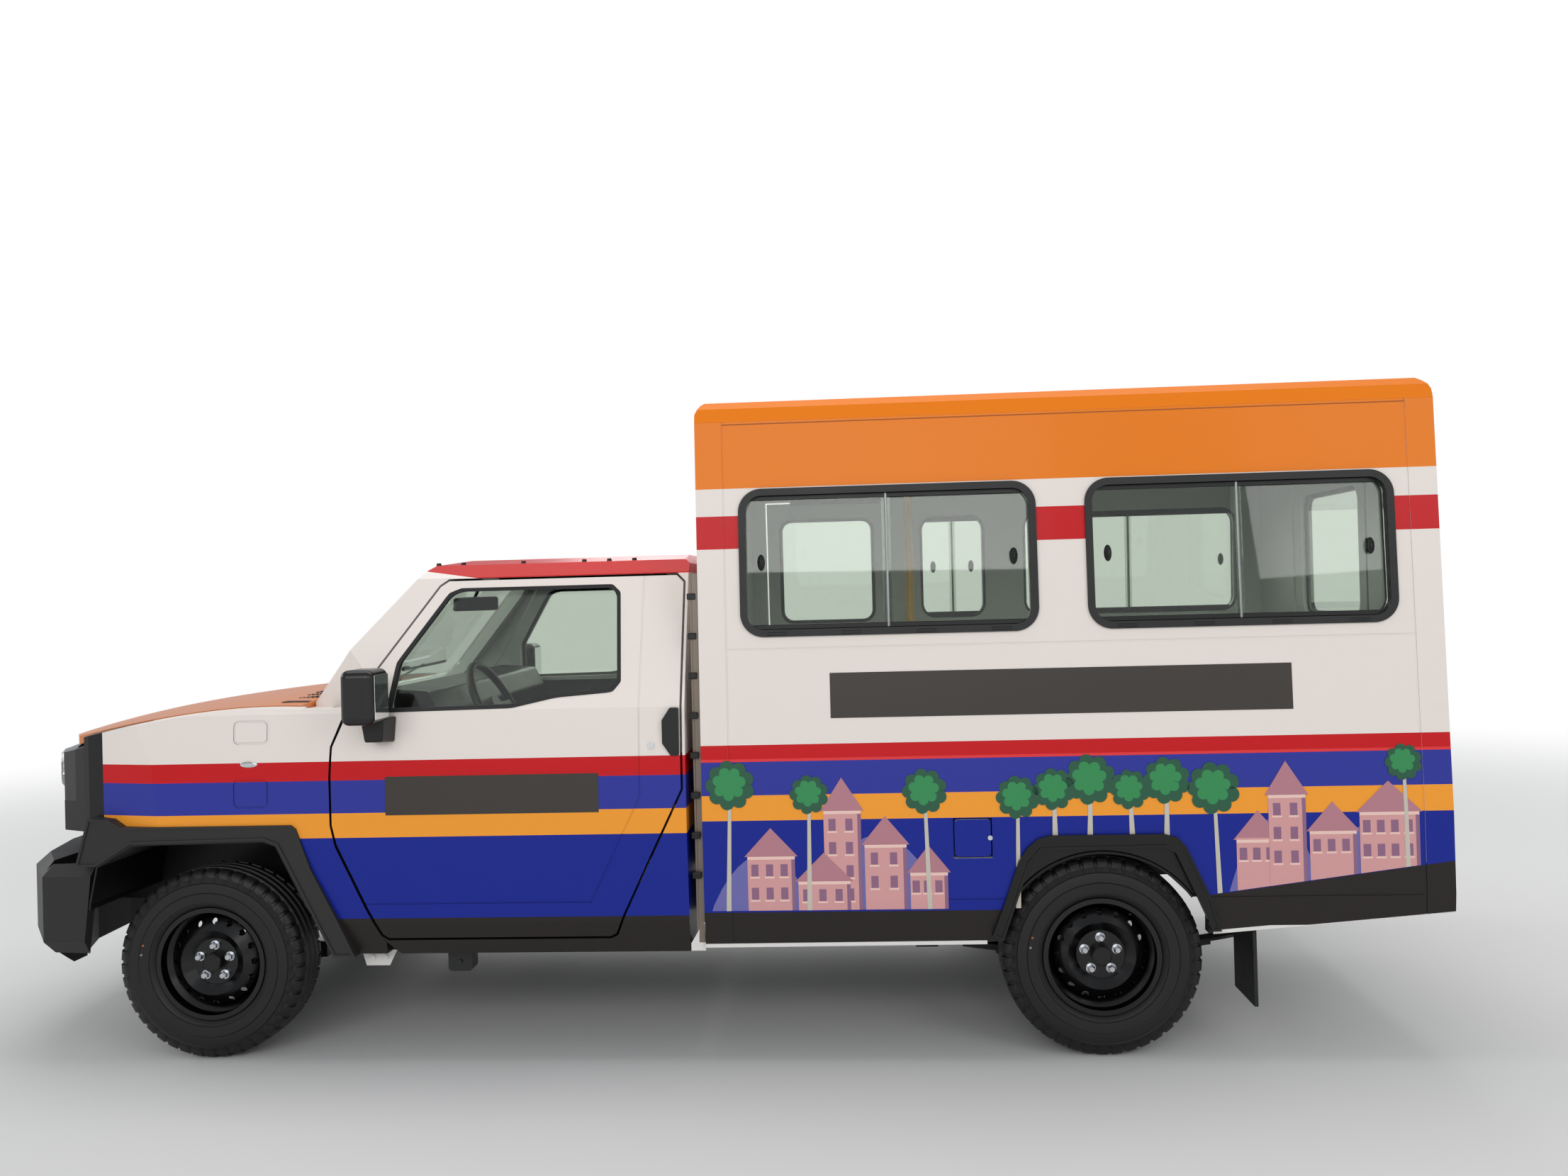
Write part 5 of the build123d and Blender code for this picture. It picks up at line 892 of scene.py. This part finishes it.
# Window seals and handles of the doors
# A moulded ring of black rubber holds each door's glass. The entry door has a plated pull
# handle, and the rear door hangs on three plated hinges.
def gasket(outline, radius, width, deep):
    """A ring of rubber along an outline in mm in side view, its corners rounded."""
    shape = bmesh.new()
    shape.faces.new([shape.verts.new((at(x), 0.0, z / 1000)) for x, z in outline])
    rounded(shape, shape.verts[:], radius, 6, "VERTICES")
    bmesh.ops.inset_region(shape, faces=shape.faces[:], thickness=width, depth=0.0, use_boundary=True)
    middle = max(shape.faces, key=lambda face: face.calc_area())
    bmesh.ops.delete(shape, geom=[middle], context="FACES_ONLY")
    made = bmesh.ops.extrude_face_region(shape, geom=shape.faces[:])["geom"]
    bmesh.ops.translate(shape, verts=[part for part in made if isinstance(part, bmesh.types.BMVert)],
                        vec=(0, deep, 0))
    return shape


door_window = (
    (664, 1204), (681, 1372), (842, 1612), (884, 1628), (1432, 1628), (1462, 1600), (1480, 1290),
    (1452, 1256), (1257, 1242), (1104, 1210),
)
for side, hand in sides:
    shape = gasket(door_window, 0.02, 0.013, 0.020)
    for vert in shape.verts:
        vert.co.y = side * (cab_y(vert.co.z) + vert.co.y - 0.0185)
    bmesh.ops.recalc_face_normals(shape, faces=shape.faces[:])
    fit(shape, "door_window_seal_" + hand, rubber, "cab_door_" + hand)

for name, low, high, radius in (("upper", 1432, 1930, 0.060), ("lower", 860, 1330, 0.040)):
    shape = gasket(upright(1930, 2382, low, high), radius, 0.016, 0.028)
    for vert in shape.verts:
        vert.co.y = box_y(vert.co.z) + vert.co.y - 0.024
    bmesh.ops.recalc_face_normals(shape, faces=shape.faces[:])
    fit(shape, "entry_window_seal_" + name, rubber, "passenger_door")
shape = bmesh.new()
pull_x = at(2418)
pull_y = box_y(1.12) + 0.024
bar(shape, (pull_x, pull_y, 1.020), (pull_x, pull_y, 1.220), 0.008)
for height in (1.035, 1.205):
    foot_y = box_y(height) - 0.004
    bar(shape, (pull_x, foot_y, height), (pull_x, pull_y, height), 0.007)
    bar(shape, (pull_x, foot_y, height), (pull_x, foot_y + 0.007, height), 0.014)
fit(shape, "entry_pull_handle", chrome, "passenger_door", True)

# The rear window's ring is drawn in side view and then turned to face the rear
half_window = 290
shape = gasket(upright(-half_window, half_window, 1432, 1930), 0.060, 0.016, 0.028)
for vert in shape.verts:
    vert.co = (rear_wall_x - 0.024 + vert.co.y, vert.co.x - at(0), vert.co.z)
bmesh.ops.recalc_face_normals(shape, faces=shape.faces[:])
fit(shape, "rear_window_seal", rubber, "rear_door")
hinge_x = rear_wall_x + 0.006
hinge_y = 0.388
leaf_back = rear_wall_x - 0.0005
leaf_face = rear_wall_x + 0.0028
leaves_on_door = bmesh.new()
leaves_on_wall = bmesh.new()
for height in (0.70, 1.27, 1.84):
    bar(leaves_on_wall, (hinge_x, hinge_y, height - 0.045), (hinge_x, hinge_y, height + 0.045), 0.006)
    for group, near, far in ((leaves_on_wall, 0.391, 0.432), (leaves_on_door, 0.318, 0.359)):
        block(group, (leaf_back, near, height - 0.040), (leaf_face, far, height + 0.040), 0.001)
fit(leaves_on_wall, "rear_hinges_on_wall", nut_chrome, "body")
fit(leaves_on_door, "rear_hinges_on_door", nut_chrome, "rear_door")


# Strips between the cab and the box
# A ribbed strip of tan anodised aluminium with black clips stands on the front wall of the box
# beside the cab, and a white pressed bracket closes the foot of the gap on each side.
gap_strip = surface("tan_anodised_aluminium", "#7E7368", 0.42, 2.0, 0.05, 0.1, Metallic=0.5)
strip_foot = 0.400
strip_head = 1.655
strips = bmesh.new()
strip_clips = bmesh.new()
brackets = bmesh.new()
for side in (-1, 1):
    # front, rear, outer and inner face and rounding of the strip and its two ribs
    for front, rear, outer, inner, rounding in (
        (1731, 1754.5, 0.872, 0.846, 0.003),
        (1724, 1732, 0.868, 0.862, 0.001),
        (1724, 1732, 0.856, 0.850, 0.001),
    ):
        verts = block(strips, (at(front), side * outer, strip_foot),
                      (at(rear), side * inner, strip_head), rounding)
        leaned(verts, side)
    for number in range(8):
        height = 0.62 + 0.135 * number
        verts = block(strip_clips, (at(1716), side * 0.874, height),
                      (at(1746), side * 0.858, height + 0.022), 0.003)
        leaned(verts, side)
    outline = ((1704, 373), (1754, 373), (1754, 472), (1737, 452), (1704, 398))
    pushed(brackets, [(at(x), side * 0.800, z / 1000) for x, z in outline], side * 0.058)
bmesh.ops.recalc_face_normals(brackets, faces=brackets.faces[:])
fit(strips, "cab_gap_strips", gap_strip, "body")
fit(strip_clips, "cab_gap_clips", black_plastic, "body")
fit(brackets, "cab_gap_brackets", sill_white, "body")


# Mirror feet
# The mirror head stands on a faceted foot of black polypropylene at the corner of the glass.
foot_outline = ((606, 1192), (706, 1192), (698, 1104), (622, 1102))
for side, hand in sides:
    shape = bmesh.new()
    outer = pushed(shape, [(at(x), side * 0.872, z / 1000) for x, z in foot_outline], side * 0.095)
    bmesh.ops.scale(shape, verts=outer, vec=(0.8, 1.0, 0.86),
                    space=Matrix.Translation((-at(655), 0, -1.185)))
    rounded(shape, shape.edges[:], 0.006, 2)
    bmesh.ops.recalc_face_normals(shape, faces=shape.faces[:])
    fit(shape, "door_mirror_foot_" + hand, black_plastic, "cab_door_" + hand)


# Indicators, roof plugs, wipers and the vent under the screen
# Clear repeater lamps in chromed rims sit on the fenders, black plugs fill the roof's rack holes,
# and two wipers park on the foot of the screen over a slotted black vent.
shape = bmesh.new()
lenses = bmesh.new()
for side in (-1, 1):
    for group, reach, half, depth in ((shape, 0.0315, 0.0115, 0.006), (lenses, 0.026, 0.0085, 0.009)):
        bmesh.ops.create_uvsphere(group, u_segments=32, v_segments=16, radius=1.0, matrix=(
            Matrix.Translation((at(180), side * 0.8795, 1.035)) @ Matrix.Diagonal((reach, depth, half, 1.0))))
fit(shape, "side_repeater_rims", chrome, "body", True)
clear_lens = surface("clear_moulded_lens", "#E8EAEC", 0.08, 8.0, 0.05, 0.03, Transmission_Weight=0.75,
                     IOR=1.49)
fit(lenses, "side_repeater_lenses", clear_lens, "body", True)

shape = bmesh.new()
for place in (770, 862, 1085, 1310, 1402, 1494):
    for side in (-1, 1):
        bar(shape, (at(place), side * 0.597, 1.7105), (at(place), side * 0.597, 1.7225), 0.010, 0.008, 16)
fit(shape, "cab_roof_plugs", black_plastic, "body", True)

screen_foot = Vector((-1.3375, 0.0, 1.262))
screen_up = Vector((0.402, 0.0, 0.465)).normalized()
screen_out = Vector((-0.465, 0.0, 0.402)).normalized()
shape = bmesh.new()
for pivot, tip in ((-0.42, 0.08), (0.10, 0.54)):
    base = screen_foot + Vector((0, pivot, 0)) - screen_up * 0.022 + screen_out * 0.004
    knee = base + screen_out * 0.018
    elbow = screen_foot + Vector((0, (pivot + tip) / 2, 0)) + screen_up * 0.040 + screen_out * 0.026
    bar(shape, base, knee, 0.011, 0.009, 16)
    bar(shape, knee, elbow, 0.0055, 0.004, 10)
    for offset, radius in ((0.021, 0.0045), (0.016, 0.003)):
        near_end = screen_foot + Vector((0, pivot - 0.02, 0)) + screen_up * 0.030
        far_end = screen_foot + Vector((0, tip + 0.04, 0)) + screen_up * 0.046
        bar(shape, near_end + screen_out * offset, far_end + screen_out * offset, radius, None, 8)
fit(shape, "screen_wipers", black_plastic, "body")


def hood_z(x, y):
    """Height of the hood's crown at a place behind the front axle in mm and a distance from the middle."""
    stations = ((-760, 1.040, 1.118), (-480, 1.124, 1.184), (-140, 1.197, 1.230), (360, 1.222, 1.274))
    for (low, low_edge, low_top), (high, high_edge, high_top) in zip(stations, stations[1:]):
        if x <= high:
            break
    share = (x - low) / (high - low)
    edge = low_edge + (high_edge - low_edge) * share
    top = low_top + (high_top - low_top) * share
    return edge + (top - edge) * (1 - (y / 0.86) ** 2)


shape = bmesh.new()
for row in range(5):
    front = 250 + 16 * row
    for step in range(-9, 9):
        y = (step + 0.5) * 0.072
        high = hood_z(front, y) + 0.0045
        block(shape, (at(front), y - 0.032, high - 0.010), (at(front + 11), y + 0.032, high), 0.0015, 1)
for side in (-1, 1):
    block(shape, (at(232), side * 0.700 - 0.045, hood_z(290, 0.70) - 0.012),
          (at(336), side * 0.700 + 0.045, hood_z(290, 0.70) + 0.004), 0.006, 2)
fit(shape, "hood_vent_slats", black_plastic, "hood")


# Radiator and head lamps
# A finned core stands behind the grille. Each lamp has a smoked block with a round bowl and a
# clear lens in a chromed ring.
core_fins = surface("finned_radiator_core", "#2B2D2F", 0.5, 6.0, 0.8, 0.1, Metallic=0.6)
shape = bmesh.new()
block(shape, (-2.300, -0.440, 0.665), (-2.262, 0.440, 1.060), 0.004)
for side in (-1, 1):
    block(shape, (-2.312, side * 0.462 - 0.024, 0.655), (-2.252, side * 0.462 + 0.024, 1.066), 0.006)
fit(shape, "radiator_core", core_fins, "body")
smoked = surface("smoked_lamp_housing", "#0A0B0C", 0.18, 8.0, 0.01, 0.05)
dress(smoked, "head_lamps")
rings = bmesh.new()
bowls = bmesh.new()
covers = bmesh.new()
for side in (-1, 1):
    out = Vector((-0.852, side * 0.523, 0.0))
    along = Vector((0.523, side * 0.852, 0.0))
    middle = Vector((at(-665), side * 0.601, 0.998))
    bar(rings, middle - out * 0.006, middle + out * 0.006, 0.076, 0.072, 48)
    bar(bowls, middle - out * 0.002, middle + out * 0.0068, 0.064, 0.060, 48)
    bar(bowls, middle, middle + out * 0.012, 0.026, 0.020, 32)
    bar(covers, middle + out * 0.0062, middle + out * 0.016, 0.070, 0.058, 48)
    for step in range(6):
        place = middle + along * (0.100 + 0.017 * step)
        bar(bowls, place - out * 0.004, place + out * 0.0045, 0.0065, 0.006, 16)
fit(rings, "head_lamp_rings", chrome, "body", True)
fit(bowls, "head_lamp_bowls", mirror_silver, "body", True)
fit(covers, "head_lamp_lenses", clear_lens, "body", True)


# Fittings of the cab ceiling
# A dipping mirror hangs from the screen's head and two padded visors lie folded up beside it.
shape = bmesh.new()
turn = Matrix.Translation((at(711), 0.0, 1.569)) @ Matrix.Rotation(radians(-38), 4, "Z")
turn = turn @ Matrix.Diagonal((0.026, 0.215, 0.058, 1.0))
verts = bmesh.ops.create_cube(shape, size=1.0, matrix=turn)["verts"]
edges = list({edge for vert in verts for edge in vert.link_edges})
rounded(shape, edges, 0.011, 3)
bar(shape, (at(705), 0.0, 1.590), (at(742), 0.0, 1.668), 0.007)
fit(shape, "cabin_mirror", black_plastic, "body")
visor_cloth = surface("visor_cloth", "#6E6C68", 0.85, 3.0, 0.15, 0.05)
for side, hand in sides:
    shape = bmesh.new()
    block(shape, (at(790), side * 0.335 - 0.205, 1.634), (at(930), side * 0.335 + 0.205, 1.650), 0.007, 3)
    fit(shape, "sun_visor_" + hand, visor_cloth, "body")


# Seats of the cab and benches of the box
# Foam pads in sewn covers, cloth in the cab and grained vinyl in the box, with channels pressed
# in by their seams. Each cover is puffed out by a little air, then its seams are drawn in.
seam_depth = 0.008


def baked(made):
    """The mesh that an object's modifiers give, with the modifiers gone."""
    graph = bpy.context.evaluated_depsgraph_get()
    mesh = bpy.data.meshes.new_from_object(made.evaluated_get(graph))
    made.modifiers.clear()
    made.data = mesh
    return mesh


def stuffed(shape, name, material, voxel, reach, seams):
    """A foam pad: an even mesh, blown out by reach metres at most, with seams drawn in across it."""
    bmesh.ops.recalc_face_normals(shape, faces=shape.faces[:])
    pad = show(shape, name, material, True)
    even = pad.modifiers.new("even", "REMESH")
    even.mode = "VOXEL"
    even.voxel_size = voxel
    mesh = baked(pad)
    rest = [vert.co.copy() for vert in mesh.vertices]
    air = pad.modifiers.new("air", "CLOTH")
    air.settings.use_pressure = True
    air.settings.uniform_pressure_force = 4.0
    air.settings.effector_weights.gravity = 0.0
    for number in range(1, 21):
        bpy.context.scene.frame_set(number)
    mesh = baked(pad)
    bpy.context.scene.frame_set(1)
    for vert, start in zip(mesh.vertices, rest):
        step = vert.co - start
        if step.length > reach:
            vert.co = start + step * (reach / step.length)
    # axis, place and width of each seam
    for axis, place, width in seams:
        pulls = [(vert, vert.normal.copy(), (vert.co[axis] - place) / width) for vert in mesh.vertices]
        for vert, normal, far in pulls:
            if abs(far) < 2.5 and abs(normal[axis]) < 0.7:
                vert.co -= normal * seam_depth * exp(-far * far)
    mesh.shade_smooth()
    finer = pad.modifiers.new("finer", "SUBSURF")
    finer.levels = 1
    finer.render_levels = 1
    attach(pad, "body")
    return pad


def slab(outline, first, last, bevel):
    """A block with a given outline in side view, between two distances from the middle."""
    shape = bmesh.new()
    pushed(shape, [(at(x), first, z / 1000) for x, z in outline], last - first)
    bmesh.ops.recalc_face_normals(shape, faces=shape.faces[:])
    rounded(shape, shape.edges[:], bevel, 4, clamped=True)
    return shape


seat_cloth = bpy.data.materials.new("woven_seat_cloth")
seat_cloth.use_nodes = True
tree = seat_cloth.node_tree
shader = tree.nodes["Principled BSDF"]
shader.inputs["Roughness"].default_value = 0.9
shader.inputs["Sheen Weight"].default_value = 0.25
coordinates = add(tree, "ShaderNodeTexCoord").outputs["Object"]
# Threads of about 8 mm, drawn that coarse so that they show; a wave's pitch is 2 pi / (20 x scale)
thread_mm = 7.8955
thread_scale = 2 * pi * 1000 / (20 * thread_mm)
warp = add(tree, "ShaderNodeTexWave", {"bands_direction": "Y", "Scale": thread_scale},
           {"Vector": coordinates})
weft = add(tree, "ShaderNodeTexWave", {"bands_direction": "DIAGONAL", "Scale": thread_scale},
           {"Vector": coordinates})
weave = sums(tree, "MULTIPLY", warp.outputs["Fac"], weft.outputs["Fac"])
emboss(seat_cloth, weave, 0.8)
two_tone(seat_cloth, weave, "#101112", "#26282A")
bench_vinyl = surface("grained_bench_vinyl", "#2A2D33", 0.48, 2.2, 0.18, 0.08)

seam_width = 0.007
seat_fittings = bmesh.new()
# which seat, its middle and half its width, then each pad's outline, half width, edge and mesh size
for hand, centre, half in (("driver", -0.370, 0.250), ("passenger", 0.330, 0.300)):
    pads = (
        ("base", ((962, 727), (962, 842), (1004, 856), (1428, 825), (1428, 727)),
         half - 0.012, 0.028, 0.010),
        ("back", ((1444, 815), (1413, 866), (1486, 1268), (1550, 1260), (1537, 815)),
         half - 0.012, 0.022, 0.009),
        ("head", ((1487, 1300), (1502, 1421), (1551, 1421), (1551, 1296)), 0.122, 0.020, 0.007),
    )
    for part, outline, reach, bevel, voxel in pads:
        shape = slab(outline, centre - reach, centre + reach, bevel)
        seams = []
        if part != "head":
            seams += [(1, centre + end * reach * 0.56, seam_width) for end in (-1, 1)]
        if part == "base":
            seams += [(0, at(place), seam_width) for place in (1080, 1200, 1320)]
        if part == "back":
            seams += [(2, place, seam_width) for place in (0.98, 1.08, 1.18)]
        stuffed(shape, hand + "_seat_" + part, seat_cloth, voxel, 0.022, seams)
    block(seat_fittings, (at(1010), centre - half + 0.060, 0.5955),
          (at(1440), centre + half - 0.060, 0.722), 0.006)
    for offset in (-0.054, 0.054):
        bar(seat_fittings, (at(1520), centre + offset, 1.250), (at(1520), centre + offset, 1.312), 0.006)
made = fit(seat_fittings, "seat_bases_and_posts", black_plastic, "body")
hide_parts("cab_seats")

bench_wall = 0.8066
for side, hand, first, last, parts in ((-1, "left", 1900, 4080, 6), (1, "right", 2600, 4080, 4)):
    pitch = (last - first) / parts
    seams = [(0, at(first + pitch * number), 0.008) for number in range(1, parts)]
    for part, far, near, low, high in (
        ("seat", 0.107, 0.370, 1.010, 1.066), ("back", 0.014, 0.064, 1.016, 1.394),
    ):
        shape = bmesh.new()
        ys = sorted((side * (bench_wall - far), side * (bench_wall - near)))
        block(shape, (at(first + 10), ys[0], low), (at(last - 10), ys[1], high), 0.022, 4)
        pad = stuffed(shape, "bench_" + part + "_" + hand, bench_vinyl, 0.012, 0.010, seams)
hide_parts("bench_cushions")


# Rear plate, tail lamps, door furniture and grab rails
# A blank pressed plate is bolted to the rear wall. The lamps are moulded in red, amber and
# clear. The rails are plated tube and the post by the entry is powder coated in yellow.
plate_white = surface("pressed_blank_plate", "#E9E9E6", 0.35, 5.0, 0.02, 0.05)
shape = bmesh.new()
block(shape, (2.5228, -0.795, 0.620), (2.5246, -0.405, 0.760), 0.0008, 1)
# the raised rim: left, right, lower and upper end of each of its four bars
for left, right, low, high in (
    (-0.795, -0.405, 0.620, 0.626), (-0.795, -0.405, 0.754, 0.760),
    (-0.795, -0.789, 0.620, 0.760), (-0.411, -0.405, 0.620, 0.760),
):
    block(shape, (2.5240, left, low), (2.5262, right, high), 0.0008, 1)
fit(shape, "blank_rear_plate", plate_white, "body")
shape = bmesh.new()
for y in (-0.700, -0.500):
    bar(shape, (2.5240, y, 0.690), (2.5290, y, 0.690), 0.0065, 0.006, 6)
for side in (-1, 1):
    for z in (0.80, 0.86, 0.96, 1.05):
        bar(shape, (2.5240, side * 0.775, z), (2.5262, side * 0.775, z), 0.004, None, 12)
fit(shape, "rear_bolts", nut_chrome, "body")

lens_bands = ((0.0, "#C9C6C0"), (0.842, "#D8731B"), (0.924, "#A60F12"))
tail_lens, parts, colour = body_paint("moulded_tail_lens", lens_bands, lens_bands, (0.0, 0.0, 0.9))
tree = tail_lens.node_tree
rib_pitch = 0.006
rib = sums(tree, "MULTIPLY", parts.outputs["Y"], 2 * pi / rib_pitch)
rib = sums(tree, "SINE", rib)
emboss(tail_lens, rib, 0.6)
dress(tail_lens, "tail_lamps")

rail_paint = surface("plated_and_powder_coated_tube", "#B9BCBE", 0.32, 4.0, 0.02, 0.06)
tree = rail_paint.node_tree
parts = object_place(tree)
# The entry post, from its place across and its reach, is yellow and the rails are plated
post_y = 0.500
post_reach = 0.030
post = sums(tree, "COMPARE", parts.outputs["Y"], post_y, post_reach)
two_tone(rail_paint, post, "#B4B7B9", "#F2B51E")
dress(rail_paint, "grab_rails")
